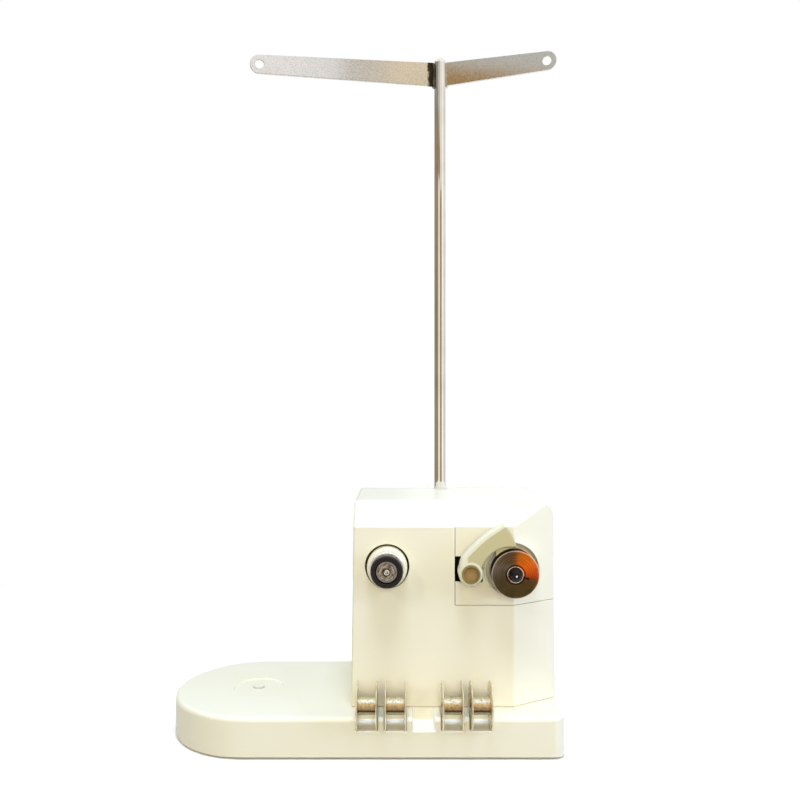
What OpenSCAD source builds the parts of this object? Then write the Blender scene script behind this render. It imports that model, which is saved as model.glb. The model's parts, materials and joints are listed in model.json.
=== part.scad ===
// Bobbin winder: moulded base with cone seat and spare bobbin slots, housing with motor drive,
// spindle, stop lever and thread tension unit, and a mast with two thread guide eyes.
// Millimetres. Origin on the table under the middle of the base, X right, Y to the back, Z up.

/* [Base] */
// length of the base, left end to right end
base_length = 176; // [172:1:190]
// depth of the base, front to back, and width of its round left end
base_depth = 76; // [75:1:84]
// height of the moulded base shell
base_height = 17; // [16:0.5:20]
// wall thickness of the moulded shells
shell_wall = 2.2; // [1.8:0.1:2.6]
// rounding of the base's top edge
base_edge_radius = 2; // [1:0.25:2.2]
// radius of the base's right-hand upright corners
base_corner_radius = 5; // [4:0.5:7]
// height that the rubber sole stands out below the base
sole_height = 1; // [0.6:0.1:2]
// how far the rubber sole stops short of the bottom plate's edge
sole_inset = 3; // [2:0.5:5]
// thickness of the bottom plate
plate_thickness = 2; // [1.6:0.1:2.4]
// radius of the shallow dish under the thread cone
dish_radius = 11.5; // [8:0.5:16]
// depth of the shallow dish
dish_depth = 0.5; // [0.3:0.1:0.8]
// radius of the nub in the middle of the dish
nub_radius = 2.6; // [1.5:0.1:4]
// height of the nub above the dish
nub_height = 1; // [0.6:0.1:2]

/* [Bobbins] */
// outer diameter of a bobbin
bobbin_diameter = 20.6; // [19.6:0.1:21.4]
// width of a bobbin over both flanges
bobbin_width = 8.9; // [8.3:0.1:9.5]
// thickness of a bobbin flange
flange_thickness = 0.5; // [0.4:0.05:0.7]
// outer radius of a bobbin's hub
hub_radius = 3.6; // [3.5:0.1:4.4]
// radius of a bobbin's bore
bobbin_bore_radius = 3.05; // [2.9:0.05:3.3]
// length of the thread slit in a bobbin's front flange
slit_length = 2.4; // [2:0.1:4]
// number of bobbin slots, the middle one is left empty
slot_count = 5; // [5:1:5]
// distance between neighbouring slots
slot_pitch = 12.2; // [11.9:0.1:12.8]
// depth of a slot below the base's top
slot_depth = 5.7; // [5:0.1:7]
// side clearance of a bobbin in its slot
slot_side_gap = 0.3; // [0.2:0.05:0.4]
// distance from the base's right end to the middle slot
slot_middle_from_right = 60.8; // [58:0.1:62]

/* [Housing] */
// width of the housing at its foot
housing_width = 92.7; // [91:0.1:96]
// height of the housing above the base
housing_height = 90.4; // [88:0.1:100]
// depth of the base's ledge in front of the housing
ledge_depth = 12; // [11.5:0.1:13]
// width and height of the bevel along the front top edge
bevel_size = 10.6; // [9:0.1:11.5]
// width of the slanted facet at the front right
facet_width = 20.6; // [18:0.1:22]
// depth of the slanted facet at the front right
facet_depth = 12; // [10:0.1:13]
// how far each side leans in from foot to top
side_draft = 1.2; // [0.5:0.1:1.6]
// rounding along the housing's top right edge
top_right_radius = 7; // [4:0.5:8]
// rounding along the housing's top left edge
top_left_radius = 1.5; // [1:0.25:2.5]
// rounding along the housing's top back edge
top_back_radius = 3; // [2:0.5:4]
// height of the screw posts inside the housing
cover_post_height = 14; // [12:0.5:16]
// width of the seam round the winder panel
seam_gap = 0.25; // [0.15:0.05:0.4]
// how far the winder panel runs back along the right side
panel_return = 8; // [6:0.5:8.5]

/* [Spindle and lever layout] */
// distance from the base's right end to the spindle
spindle_from_right = 21.4; // [21:0.1:22.5]
// distance from the housing's top down to the spindle
spindle_below_top = 29.4; // [28:0.1:31]
// distance between spindle and lever pivot
lever_to_spindle = 19; // [18.6:0.1:19.6]
// distance from the lever pivot left to the panel's seam
lever_to_seam = 6.4; // [6:0.1:7]
// distance from the spindle down to the panel's seam
spindle_to_seam = 16; // [15:0.1:17]
// width of the lever's window in the panel
window_width = 12.4; // [11:0.1:12.6]
// height of the lever's window in the panel
window_height = 11.4; // [10:0.1:12]
// outer radius of the collar round the spindle
collar_radius = 12.6; // [12:0.1:12.8]
// wall thickness of the collar's rim
collar_rim = 1; // [0.8:0.1:1.4]
// how far the collar stands out in front of the housing
collar_proud = 1; // [0.6:0.1:1.2]
// depth of the well inside the collar
well_depth = 4.5; // [4.2:0.1:5]

/* [Spindle] */
// gap between collar rim and bobbin
bobbin_standoff = 1.1; // [0.8:0.1:1.5]
// radius of the bobbin's seat disc
seat_radius = 8; // [6:0.1:9]
// thickness of the seat disc
seat_thickness = 2.4; // [2:0.1:2.6]
// radius of the spindle behind the nose
journal_radius = 2.5; // [2:0.1:2.6]
// length of the nose in front of the bobbin
nose_length = 3.5; // [3:0.1:5]
// outer radius of the spindle bushes
bush_radius = 4; // [3.6:0.1:4.6]
// clearance of a turning shaft in its bush
run_clearance = 0.05; // [0.03:0.01:0.08]
// clearance of parts that are pushed together
fit_clearance = 0.02; // [0.01:0.01:0.04]

/* [Drive] */
// core radius of the spindle pulley
spindle_pulley_radius = 10; // [8:0.1:10.5]
// core radius of the motor pulley
motor_pulley_radius = 5; // [4:0.1:6]
// height of a pulley's rims above its core
pulley_rim = 1; // [0.8:0.1:1.2]
// thickness of a pulley's rims
pulley_rim_width = 0.9; // [0.8:0.1:1]
// width of the flat drive belt
belt_width = 4; // [3.6:0.1:4.2]
// thickness of the flat drive belt
belt_thickness = 1; // [0.8:0.1:1.2]
// clearance between belt and pulleys
belt_clearance = 0.1; // [0.05:0.01:0.15]
// distance from spindle left to motor
motor_offset = 18.6; // [17:0.1:20]
// distance from spindle down to motor
motor_drop = 35; // [34:0.1:36]
// radius of the motor can
motor_radius = 13.8; // [12:0.1:14]
// length of the motor can
motor_length = 29; // [26:0.5:30]
// radius of the motor shaft
motor_shaft_radius = 1.2; // [1:0.1:1.5]
// thickness of the drive frame
frame_thickness = 2; // [1.5:0.1:2.4]
// distance from the base's middle back to the drive frame's front face
frame_setback = 4; // [3.6:0.1:4.4]

/* [Stop lever] */
// radius of the lever's boss
lever_boss_radius = 5.3; // [4.6:0.1:5.5]
// depth of the lever's arm, front to back
lever_depth = 5.5; // [4.5:0.1:6]
// distance from the housing's front to the lever's front
lever_front = 9.5; // [9.2:0.1:9.8]
// gap between housing and lever boss
lever_gap = 1; // [0.8:0.1:1.4]
// radius of the lever's hollow side round the bobbin
lever_hollow_radius = 12.8; // [12.4:0.1:13]
// depth of the finger that feels the thread
finger_depth = 2.6; // [2:0.1:3.5]
// gap between the finger and the bobbin's rim when the lever is off
finger_clearance = 0.6; // [0.4:0.1:0.9]
// radius of the lever shaft
lever_shaft_radius = 2.2; // [1.8:0.1:2.4]
// radius of the lever screw's head
lever_screw_radius = 4; // [3.4:0.1:4.2]
// height of the lever screw's head
lever_screw_height = 1.8; // [1.4:0.1:2.4]
// length of the crank that works the switch
crank_length = 13; // [12:0.1:14]
// depth of the switch body, front to back
switch_depth = 6.4; // [6:0.1:6.6]

/* [Thread tension unit] */
// distance from the housing's left foot to the tension unit
tension_from_left = 16; // [15:0.1:18]
// distance from the housing's top down to the tension unit
tension_below_top = 28.1; // [26:0.1:30]
// radius of the round hole in the housing
tension_hole_radius = 9.8; // [9.6:0.1:10.6]
// radius of the cap in the hole
cap_radius = 8.9; // [8.2:0.1:9.2]
// how far the cap stands out in front of the housing
cap_proud = 4; // [3:0.1:5]
// radius of the tension discs
disc_radius = 7.4; // [6.8:0.1:7.8]
// thickness of the tension discs
disc_thickness = 0.5; // [0.4:0.05:0.6]
// how far the tension discs' rims flare
disc_flare = 1; // [0.8:0.05:1.1]
// radius of the tension knob
knob_radius = 7; // [6.4:0.1:7.4]
// length of the tension knob
knob_length = 4.5; // [4.3:0.1:5.5]
// radius of the nut's flange in the knob
knob_nut_radius = 4.7; // [4.2:0.1:4.9]
// radius over the lobes of the nut's crown
crown_radius = 3.8; // [3.3:0.1:4]
// number of lobes on the nut's crown
crown_lobes = 8; // [6:1:10]
// radius of the tension stud
stud_radius = 1.4; // [1.2:0.05:1.6]
// middle radius of the tension spring
spring_radius = 3; // [2.6:0.1:3.2]
// wire radius of the tension spring
spring_wire_radius = 0.25; // [0.2:0.01:0.28]
// turns of the tension spring
spring_turns = 2.5; // [2:0.25:2.5]

/* [Mast and thread guide] */
// height of the mast's top above the table
mast_top = 330; // [300:1:360]
// radius of the mast
mast_radius = 3; // [2.8:0.05:3.1]
// distance from the base's right end to the mast
mast_from_right = 50.3; // [46:0.1:54]
// distance from the housing's back to the mast
mast_from_back = 6.5; // [6.4:0.1:8]
// length of the mast inside the housing
mast_depth = 36; // [34:0.5:40]
// length of the mast's socket
socket_length = 24; // [20:0.5:26]
// wall thickness of the mast's socket and of the guide strip's saddle
socket_wall = 1.15; // [1:0.05:1.2]
// distance from the mast's top down to the middle of the guide strip
guide_drop = 9; // [8:0.5:14]
// thickness of the guide strip
strip_thickness = 1.2; // [1:0.1:1.5]
// height of the guide strip at the mast
strip_height = 12.4; // [11:0.1:14]
// height of the guide strip at the eyes
strip_end_height = 9.4; // [8.5:0.1:10.5]
// length of the left arm, mast to eye
left_arm_length = 91.6; // [80:0.1:105]
// angle of the left arm towards the front
left_arm_angle = 8.5; // [5:0.1:15]
// length of the right arm, mast to eye
right_arm_length = 54.6; // [45:0.1:65]
// angle of the right arm towards the front
right_arm_angle = 18.7; // [12:0.1:25]
// radius of the thread eyes
eye_radius = 2.2; // [1.8:0.1:2.6]

/* [Fasteners] */
// radius of the screws that hold the shells
screw_radius = 1.5; // [1.3:0.1:1.6]
// radius of a screw's head
screw_head_radius = 2.8; // [2.6:0.1:3]
// height of a screw's head
screw_head_height = 1.8; // [1.5:0.1:2]
// radius of the posts that take screws
post_radius = 3.8; // [3.4:0.1:4]

/* [Hidden] */
$fn = 48;

x_left = -base_length / 2;
x_right = base_length / 2;
y_front = -base_depth / 2;
y_back = base_depth / 2;
end_radius = base_depth / 2;
cone_x = x_left + end_radius;
base_z = sole_height;
deck_z = base_z + base_height;

bobbin_radius = bobbin_diameter / 2;
slot_width = bobbin_width + 2 * slot_side_gap;
slot_middle_x = x_right - slot_middle_from_right;
slot_floor_z = deck_z - slot_depth;
touch_gap = 0.1;
slots_left = slot_x(0) - slot_width / 2 - shell_wall;
slots_right = slot_x(slot_count - 1) + slot_width / 2 + shell_wall;
spare_z = slot_floor_z + bobbin_radius + touch_gap;

house_x = x_right - housing_width;
house_y = y_front + ledge_depth;
house_top = deck_z + housing_height;
inner_y = house_y + shell_wall;
facet_length = sqrt(facet_width * facet_width + facet_depth * facet_depth);
spare_y = house_y - bobbin_radius - 2 * touch_gap;
bevel_z = house_top - bevel_size;

spindle_x = x_right - spindle_from_right;
spindle_z = house_top - spindle_below_top;
lever_x = spindle_x - lever_to_spindle;
seam_x = lever_x - lever_to_seam;
seam_z = spindle_z - spindle_to_seam;
panel_y = house_y + facet_depth + panel_return;
collar_back = house_y + 11;
collar_front = house_y - collar_proud;
well_floor = collar_front + well_depth;
bobbin_back = collar_front - bobbin_standoff;
bobbin_front = bobbin_back - bobbin_width;
nose_radius = bobbin_bore_radius - 2 * run_clearance;
nose_tip = bobbin_front - nose_length;

frame_front = -frame_setback;
frame_back = frame_front + frame_thickness;
frame_left = lever_x - 33.6;
frame_right = spindle_x + 16.5;
frame_foot_right = frame_left + 56;
frame_split_z = spindle_z - 29;
frame_top = spindle_z + 17;
foot_depth = 20;
frame_posts = [[frame_left + 8, frame_back + 12], [frame_left + 48, frame_back + 12]];

pulley_width = belt_width + 2 * belt_clearance + 2 * pulley_rim_width;
pulley_back = frame_front - 4;
pulley_front = pulley_back - pulley_width;
belt_front = pulley_front + pulley_rim_width + belt_clearance;
motor_x = spindle_x - motor_offset;
motor_z = spindle_z - motor_drop;
motor_back = frame_back + motor_length;
motor_screw_reach = 8;
motor_boss_radius = 5;

lever_y = house_y - lever_front;
lever_boss_back = house_y - lever_gap;
finger_front = lever_y + (lever_depth - finger_depth) / 2;
lever_scale = lever_to_spindle / 19;
lever_top_arc = [47.7, -37.3, 67.8];
lever_right_arc = [1.2, 7.8, 18.9];
lever_left_arc = [4.5, 2.5, 9.3];
lever_shoulder = [-3.7, 6.9];
crank_back = frame_front - 1.4;
crank_front = crank_back - 5;
crank_drop = 6;
switch_top = spindle_z - 9;
switch_right = lever_x - 9.6;
switch_height = 10;
switch_length = 20;
plunger_x = lever_x - crank_length + 1.4;
plunger_top = spindle_z - crank_drop - touch_gap;

tension_x = house_x + tension_from_left;
tension_z = house_top - tension_below_top;
cap_front = house_y - cap_proud;
cap_seat = cap_front - disc_flare - 0.2;
disc_gap = 0.2;
disc_meet = cap_seat - fit_clearance - disc_thickness;
front_disc_back = disc_meet - disc_gap;
front_disc_front = front_disc_back - disc_thickness;
knob_back = front_disc_front - disc_flare - 0.65;
knob_front = knob_back - knob_length;
knob_pocket = knob_back - 2.1;
knob_cup = knob_front + 1.6;
spring_back = front_disc_front - touch_gap;
spring_front = knob_pocket + touch_gap;
ear_reach = 7;

mast_x = x_right - mast_from_right;
mast_y = y_back - mast_from_back;
guide_z = mast_top - guide_drop;
socket_top = house_top - shell_wall;
socket_bottom = socket_top - socket_length;
socket_radius = mast_radius + run_clearance + socket_wall;
strip_root_height = strip_height - 0.3;

base_posts = [
    [x_left + 13, 0],
    [slots_left - 12, y_front + 11], [slots_left - 12, y_back - 11],
    [x_right - 11, y_front + 11], [x_right - 11, y_back - 11]
];
cover_posts = [
    [house_x + 7.2, house_y + 7.2], [house_x + 7.2, y_back - 7.2],
    [x_right - 8, house_y + facet_depth + 5], [x_right - 8, y_back - 22]
];
panel_posts = [[lever_x - 0.6, spindle_z + 13], [spindle_x + 12.4, spindle_z - 11]];

board_left = frame_left + 1.4;
board_width = 23;
board_bottom = deck_z + 6;
board_height = switch_top - switch_height - 8 - board_bottom;
board_scale = board_height / 28;
board_back = frame_front - 6.4;
board_thickness = 1.6;
board_front = board_back - board_thickness;
inlet_x = house_x + 15;
inlet_z = deck_z + 27;
inlet_radius = 3.9;

ivory = [0.91, 0.88, 0.78];
steel = [0.72, 0.72, 0.74];
dark_steel = [0.4, 0.4, 0.42];
brass = [0.76, 0.58, 0.3];
black = [0.08, 0.08, 0.08];

function slot_x(i) = slot_middle_x + (i - (slot_count - 1) / 2) * slot_pitch;

// round bar along Y
module bar_y(x, z, y_from, y_to, r) {
    translate([x, y_from, z])
        rotate([-90, 0, 0])
            cylinder(h = y_to - y_from, r = r);
}

// round tube along Y
module tube_y(x, z, y_from, y_to, r, bore) {
    difference() {
        bar_y(x, z, y_from, y_to, r);
        bar_y(x, z, y_from - 1, y_to + 1, bore);
    }
}

// body of revolution round an axis along Y, drawn as radius and Y
module turned_y(x, z) {
    translate([x, 0, z])
        rotate([-90, 0, 0])
            rotate_extrude()
                children();
}

// flat shape drawn in X and Z, from one Y to another
module slab_y(y_from, y_to) {
    translate([0, y_to, 0])
        rotate([90, 0, 0])
            linear_extrude(height = y_to - y_from)
                children();
}

// base outline, drawn in by an inset
module base_plan(inset) {
    corner = max(base_corner_radius - inset, 1);
    translate([cone_x, 0])
        circle(r = end_radius - inset);
    translate([cone_x, y_front + inset])
        square([x_right - inset - corner - cone_x, base_depth - 2 * inset]);
    translate([x_right - inset - corner - 1, y_front + inset + corner])
        square([corner + 1, base_depth - 2 * inset - 2 * corner]);
    for (side = [-1, 1])
        translate([x_right - inset - corner, side * (end_radius - inset - corner)])
            circle(r = corner);
}

// base block with a rounded top edge
module base_block() {
    e = base_edge_radius;
    intersection() {
        translate([0, 0, base_z])
            linear_extrude(height = base_height)
                base_plan(0);
        union() {
            translate([cone_x, 0, 0])
                rotate_extrude() {
                    polygon([
                        [0, base_z], [end_radius, base_z], [end_radius, deck_z - e],
                        [end_radius - e, deck_z], [0, deck_z]
                    ]);
                    translate([end_radius - e, deck_z - e])
                        circle(r = e);
                }
            translate([cone_x, 0, 0])
                rotate([90, 0, 90])
                    linear_extrude(height = x_right - cone_x) {
                        polygon([
                            [y_front, base_z], [y_back, base_z], [y_back, deck_z - e],
                            [y_back - e, deck_z], [y_front + e, deck_z], [y_front, deck_z - e]
                        ]);
                        for (side = [-1, 1])
                            translate([side * (end_radius - e), deck_z - e])
                                circle(r = e);
                    }
        }
    }
}

module base_shell() {
    color(ivory)
        difference() {
            union() {
                difference() {
                    base_block();
                    translate([0, 0, base_z - 1])
                        linear_extrude(height = base_height - shell_wall + 1)
                            base_plan(shell_wall);
                }
                translate([slots_left, y_front + 1, slot_floor_z - shell_wall])
                    cube([
                        slots_right - slots_left, inner_y - y_front - 1,
                        slot_depth + shell_wall - base_edge_radius
                    ]);
                for (p = base_posts)
                    translate([p[0], p[1], base_z + plate_thickness])
                        cylinder(h = base_height - plate_thickness - 1, r = post_radius);
                for (p = frame_posts)
                    translate([p[0], p[1], deck_z - 11])
                        cylinder(h = 10, r = post_radius);
                translate([cone_x, 0, deck_z - dish_depth - shell_wall])
                    cylinder(h = shell_wall, r = dish_radius + shell_wall);
            }
            for (i = [0 : slot_count - 1])
                translate([slot_x(i) - slot_width / 2, y_front - 1, slot_floor_z])
                    cube([slot_width, ledge_depth + 1, slot_depth + 1]);
            difference() {
                translate([cone_x, 0, deck_z - dish_depth])
                    cylinder(h = 3, r = dish_radius);
                translate([cone_x, 0, deck_z - dish_depth - 1])
                    cylinder(h = 1 + nub_height, r = nub_radius);
            }
            for (p = base_posts)
                translate([p[0], p[1], base_z])
                    cylinder(h = 11, r = screw_radius + fit_clearance);
            for (p = frame_posts)
                translate([p[0], p[1], deck_z - 10])
                    cylinder(h = 12, r = screw_radius + fit_clearance);
            for (p = cover_posts)
                translate([p[0], p[1], deck_z - shell_wall - 1])
                    cylinder(h = shell_wall + 2, r = screw_radius + 0.2);
        }
    color(ivory)
        translate([cone_x, 0, deck_z - dish_depth - 0.5])
            cylinder(h = nub_height + 0.5, r = nub_radius);
}

module bottom_plate() {
    color(dark_steel)
        difference() {
            translate([0, 0, base_z])
                linear_extrude(height = plate_thickness)
                    base_plan(shell_wall + seam_gap);
            for (p = base_posts)
                translate([p[0], p[1], base_z - 1]) {
                    cylinder(h = plate_thickness + 2, r = screw_radius + 0.2);
                    cylinder(h = 1 + screw_head_height / 2, r = screw_head_radius + 0.2);
                }
        }
}

module base_screws() {
    color(steel)
        for (p = base_posts)
            translate([p[0], p[1], base_z]) {
                cylinder(h = screw_head_height / 2 - fit_clearance, r = screw_head_radius);
                cylinder(h = 10, r = screw_radius);
            }
}

module rubber_sole() {
    color(black)
        difference() {
            linear_extrude(height = sole_height)
                base_plan(shell_wall + seam_gap + sole_inset);
            for (p = base_posts)
                translate([p[0], p[1], -1])
                    cylinder(h = sole_height + 2, r = screw_head_radius + 1);
        }
}

// housing outline from above, drawn in by an inset
module house_plan(w) {
    corner = max(base_corner_radius - w, 1);
    polygon([
        [house_x + w, house_y + w],
        [x_right - facet_width - w * facet_depth / (facet_length + facet_width), house_y + w],
        [x_right - w, house_y + facet_depth + w * facet_width / (facet_length + facet_depth)],
        [x_right - w, y_back - w - corner],
        [x_right - w - corner, y_back - w],
        [house_x + w, y_back - w]
    ]);
    translate([x_right - w - corner, y_back - w - corner])
        circle(r = corner);
}

// housing outline from the front, drawn in by an inset, with leaning sides and rounded top edges
module house_front(w, z_foot) {
    lean = atan(side_draft / housing_height);
    top = house_top - w;
    r_left = max(top_left_radius - w, 0.6);
    r_right = max(top_right_radius - w, 0.6);
    left = house_x + w + side_draft * (top - r_left - deck_z) / housing_height + r_left / cos(lean);
    right = x_right - w - side_draft * (top - r_right - deck_z) / housing_height - r_right / cos(lean);
    foot = side_draft * (z_foot - deck_z) / housing_height;
    polygon([
        [house_x + w + foot, z_foot], [x_right - w - foot, z_foot],
        [right + r_right * cos(lean), top - r_right + r_right * sin(lean)], [right, top],
        [left, top], [left - r_left * cos(lean), top - r_left + r_left * sin(lean)]
    ]);
    translate([left, top - r_left])
        circle(r = r_left);
    translate([right, top - r_right])
        circle(r = r_right);
}

// housing outline from the side, drawn in by an inset, with the bevel and a rounded back edge
module house_side(w, z_foot) {
    top = house_top - w;
    b = bevel_size - w * (2 - sqrt(2));
    r = max(top_back_radius - w, 0.6);
    polygon([
        [house_y + w, z_foot], [y_back - w, z_foot], [y_back - w, top - r], [y_back - w - r, top],
        [house_y + w + b, top], [house_y + w, top - b]
    ]);
    translate([y_back - w - r, top - r])
        circle(r = r);
}

// housing block, drawn in by an inset and started at a foot height
module house_block(w, z_foot) {
    intersection() {
        translate([0, 0, z_foot])
            linear_extrude(height = housing_height + 10)
                house_plan(w);
        slab_y(house_y - 1, y_back + 1)
            house_front(w, z_foot);
        translate([house_x - 1, 0, 0])
            rotate([90, 0, 90])
                linear_extrude(height = housing_width + 2)
                    house_side(w, z_foot);
    }
}

// box in which the winder panel lies, drawn in by a gap except along its top
module panel_box(gap) {
    translate([seam_x + gap, house_y - 1, seam_z + gap])
        cube([x_right - seam_x, panel_y - gap - house_y + 1, bevel_z - seam_z - gap]);
}

module housing_cover() {
    color(ivory)
        difference() {
            union() {
                difference() {
                    house_block(0, deck_z);
                    house_block(shell_wall, deck_z - 1);
                    panel_box(0);
                }
                for (p = cover_posts) {
                    out = p[0] > 0.5 * x_right ? x_right - 1 : house_x + 1;
                    translate([p[0], p[1], deck_z])
                        cylinder(h = cover_post_height, r = post_radius);
                    translate([min(p[0], out), p[1] - 1, deck_z])
                        cube([abs(out - p[0]), 2, cover_post_height - 1]);
                }
                translate([mast_x, mast_y, socket_bottom + 1])
                    cylinder(h = socket_length, r = mast_from_back - 0.3);
            }
            for (p = cover_posts)
                translate([p[0], p[1], deck_z - 1])
                    cylinder(h = cover_post_height, r = screw_radius + fit_clearance);
            bar_y(tension_x, tension_z, house_y - 1, inner_y + 1, tension_hole_radius);
            translate([mast_x, mast_y, socket_bottom])
                cylinder(h = socket_length, r = socket_radius + fit_clearance);
            translate([mast_x, mast_y, socket_top - 1])
                cylinder(h = shell_wall + 2, r = mast_radius + 0.3);
            bar_y(inlet_x, inlet_z, y_back - shell_wall - 1, y_back + 1, inlet_radius + 0.1);
        }
}

module winder_panel() {
    color(ivory)
        difference() {
            union() {
                intersection() {
                    difference() {
                        house_block(0, deck_z);
                        house_block(shell_wall, deck_z - 1);
                    }
                    panel_box(seam_gap);
                }
                bar_y(spindle_x, spindle_z, collar_front, collar_back, collar_radius);
                intersection() {
                    house_block(shell_wall / 2, deck_z);
                    for (p = panel_posts)
                        bar_y(p[0], p[1], house_y, frame_front, post_radius);
                }
            }
            bar_y(spindle_x, spindle_z, collar_front - 1, well_floor, collar_radius - collar_rim);
            bar_y(spindle_x, spindle_z, well_floor - 1, collar_back + 1, bush_radius + fit_clearance);
            translate([seam_x - 1, house_y - 1, spindle_z - window_height / 2])
                cube([window_width + 1, shell_wall + 2, window_height]);
            for (p = panel_posts)
                bar_y(p[0], p[1], frame_front - 9, frame_front + 1, screw_radius + fit_clearance);
        }
}

module cover_screws() {
    color(steel)
        for (p = cover_posts)
            translate([p[0], p[1], deck_z - shell_wall - screw_head_height]) {
                cylinder(h = screw_head_height, r = screw_head_radius);
                cylinder(h = screw_head_height + shell_wall + 9, r = screw_radius);
            }
}

module panel_screws() {
    color(steel)
        for (p = panel_posts) {
            bar_y(p[0], p[1], frame_back, frame_back + screw_head_height, screw_head_radius);
            bar_y(p[0], p[1], frame_front - 8, frame_back + 0.5, screw_radius);
        }
}

module drive_frame() {
    color(steel)
        difference() {
            union() {
                translate([frame_left, frame_front, deck_z])
                    cube([frame_foot_right - frame_left, frame_thickness, frame_top - deck_z]);
                translate([frame_left, frame_front, frame_split_z])
                    cube([frame_right - frame_left, frame_thickness, frame_top - frame_split_z]);
                translate([frame_left, frame_front, deck_z])
                    cube([frame_foot_right - frame_left, foot_depth, frame_thickness]);
                translate([tension_x - ear_reach, frame_front, tension_z - ear_reach])
                    cube([frame_left + 1 - tension_x + ear_reach, frame_thickness, 2 * ear_reach]);
            }
            bar_y(tension_x, tension_z, frame_front - 1, frame_back + 1, stud_radius + fit_clearance);
            bar_y(spindle_x, spindle_z, frame_front - 1, frame_back + 1, bush_radius + fit_clearance);
            bar_y(lever_x, spindle_z, frame_front - 1, frame_back + 1, bush_radius + fit_clearance);
            bar_y(motor_x, motor_z, frame_front - 1, frame_back + 1, motor_boss_radius + fit_clearance);
            for (side = [-1, 1])
                bar_y(motor_x + side * motor_screw_reach, motor_z, frame_front - 1, frame_back + 1,
                    screw_radius + 0.1);
            for (p = panel_posts)
                bar_y(p[0], p[1], frame_front - 1, frame_back + 1, screw_radius + 0.2);
            for (p = frame_posts)
                translate([p[0], p[1], deck_z - 1])
                    cylinder(h = frame_thickness + 2, r = screw_radius + 0.2);
            for (side = [0, 1])
                bar_y(switch_right - 5 - side * 9.5, switch_top - switch_height + 2.8, frame_front - 1,
                    frame_back + 1, screw_radius - 0.4);
        }
}

module frame_screws() {
    color(steel)
        for (p = frame_posts)
            translate([p[0], p[1], deck_z + frame_thickness]) {
                cylinder(h = screw_head_height, r = screw_head_radius);
                translate([0, 0, -frame_thickness - 9])
                    cylinder(h = frame_thickness + 9.5, r = screw_radius);
            }
}

module motor_can() {
    color(steel)
        difference() {
            union() {
                bar_y(motor_x, motor_z, frame_back, motor_back, motor_radius);
                bar_y(motor_x, motor_z, frame_front, frame_back + 0.5, motor_boss_radius);
            }
            bar_y(motor_x, motor_z, frame_front - 1, motor_back - 3, motor_shaft_radius + run_clearance);
            for (side = [-1, 1])
                bar_y(motor_x + side * motor_screw_reach, motor_z, frame_back - 1, frame_back + 4,
                    screw_radius + fit_clearance);
        }
}

module motor_cap() {
    color(black)
        bar_y(motor_x, motor_z, motor_back, motor_back + 3, motor_radius - 0.6);
}

module motor_terminals() {
    color(brass)
        for (side = [-1, 1])
            translate([motor_x + side * 8 - 1.5, motor_back + 3, motor_z - 0.3])
                cube([3, 3, 0.6]);
}

module motor_screws() {
    color(steel)
        for (side = [-1, 1]) {
            bar_y(motor_x + side * motor_screw_reach, motor_z, frame_front - 1.4, frame_front,
                screw_head_radius - 0.4);
            bar_y(motor_x + side * motor_screw_reach, motor_z, frame_front - 0.5, frame_back + 3.5,
                screw_radius);
        }
}

module motor_shaft() {
    color(steel)
        bar_y(motor_x, motor_z, pulley_front - 1, motor_back - 4, motor_shaft_radius);
}

// flanged pulley for the flat belt
module pulley(x, z, core, bore) {
    rim = core + pulley_rim;
    turned_y(x, z)
        polygon([
            [bore, pulley_front], [rim, pulley_front], [rim, pulley_front + pulley_rim_width],
            [core, pulley_front + pulley_rim_width], [core, pulley_back - pulley_rim_width],
            [rim, pulley_back - pulley_rim_width], [rim, pulley_back], [bore, pulley_back]
        ]);
}

module motor_pulley() {
    color(black)
        pulley(motor_x, motor_z, motor_pulley_radius, motor_shaft_radius + fit_clearance);
}

module spindle_pulley() {
    color(black)
        pulley(spindle_x, spindle_z, spindle_pulley_radius, journal_radius + fit_clearance);
}

// outline of a loop round both pulleys, lifted off their cores
module loop_outline(lift) {
    a = [spindle_x, spindle_z];
    b = [motor_x, motor_z];
    ra = spindle_pulley_radius + lift;
    rb = motor_pulley_radius + lift;
    heading = atan2(b[1] - a[1], b[0] - a[0]);
    open = acos((ra - rb) / norm(b - a));
    polygon([
        for (i = [0 : 24])
            let (t = heading + open + (360 - 2 * open) * i / 24)
            a + ra * [cos(t), sin(t)],
        for (i = [0 : 24])
            let (t = heading - open + 2 * open * i / 24)
            b + rb * [cos(t), sin(t)]
    ]);
}

module drive_belt() {
    color(black)
        slab_y(belt_front, belt_front + belt_width)
            difference() {
                loop_outline(belt_clearance + belt_thickness);
                loop_outline(belt_clearance);
            }
}

module spindle_shaft() {
    color(dark_steel) {
        bar_y(spindle_x, spindle_z, nose_tip + nose_radius, bobbin_back, nose_radius);
        translate([spindle_x, nose_tip + nose_radius, spindle_z])
            sphere(r = nose_radius);
        bar_y(spindle_x, spindle_z, bobbin_back - 1, frame_back + 4.2, journal_radius);
    }
}

module bobbin_seat() {
    color(steel)
        difference() {
            union() {
                bar_y(spindle_x, spindle_z, bobbin_back, bobbin_back + seat_thickness, seat_radius);
                bar_y(spindle_x, spindle_z, bobbin_back, well_floor - 0.4, bush_radius + 0.6);
            }
            bar_y(spindle_x, spindle_z, bobbin_back - 1, well_floor + 1, journal_radius + fit_clearance);
        }
}

module front_bush() {
    color(brass)
        tube_y(spindle_x, spindle_z, well_floor, collar_back, bush_radius, journal_radius + run_clearance);
}

module rear_bush() {
    color(brass)
        difference() {
            union() {
                bar_y(spindle_x, spindle_z, frame_front - 2, frame_back + 1.5, bush_radius);
                bar_y(spindle_x, spindle_z, frame_front - 2, frame_front, bush_radius + 1.5);
            }
            bar_y(spindle_x, spindle_z, frame_front - 3, frame_back + 3, journal_radius + run_clearance);
        }
}

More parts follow.
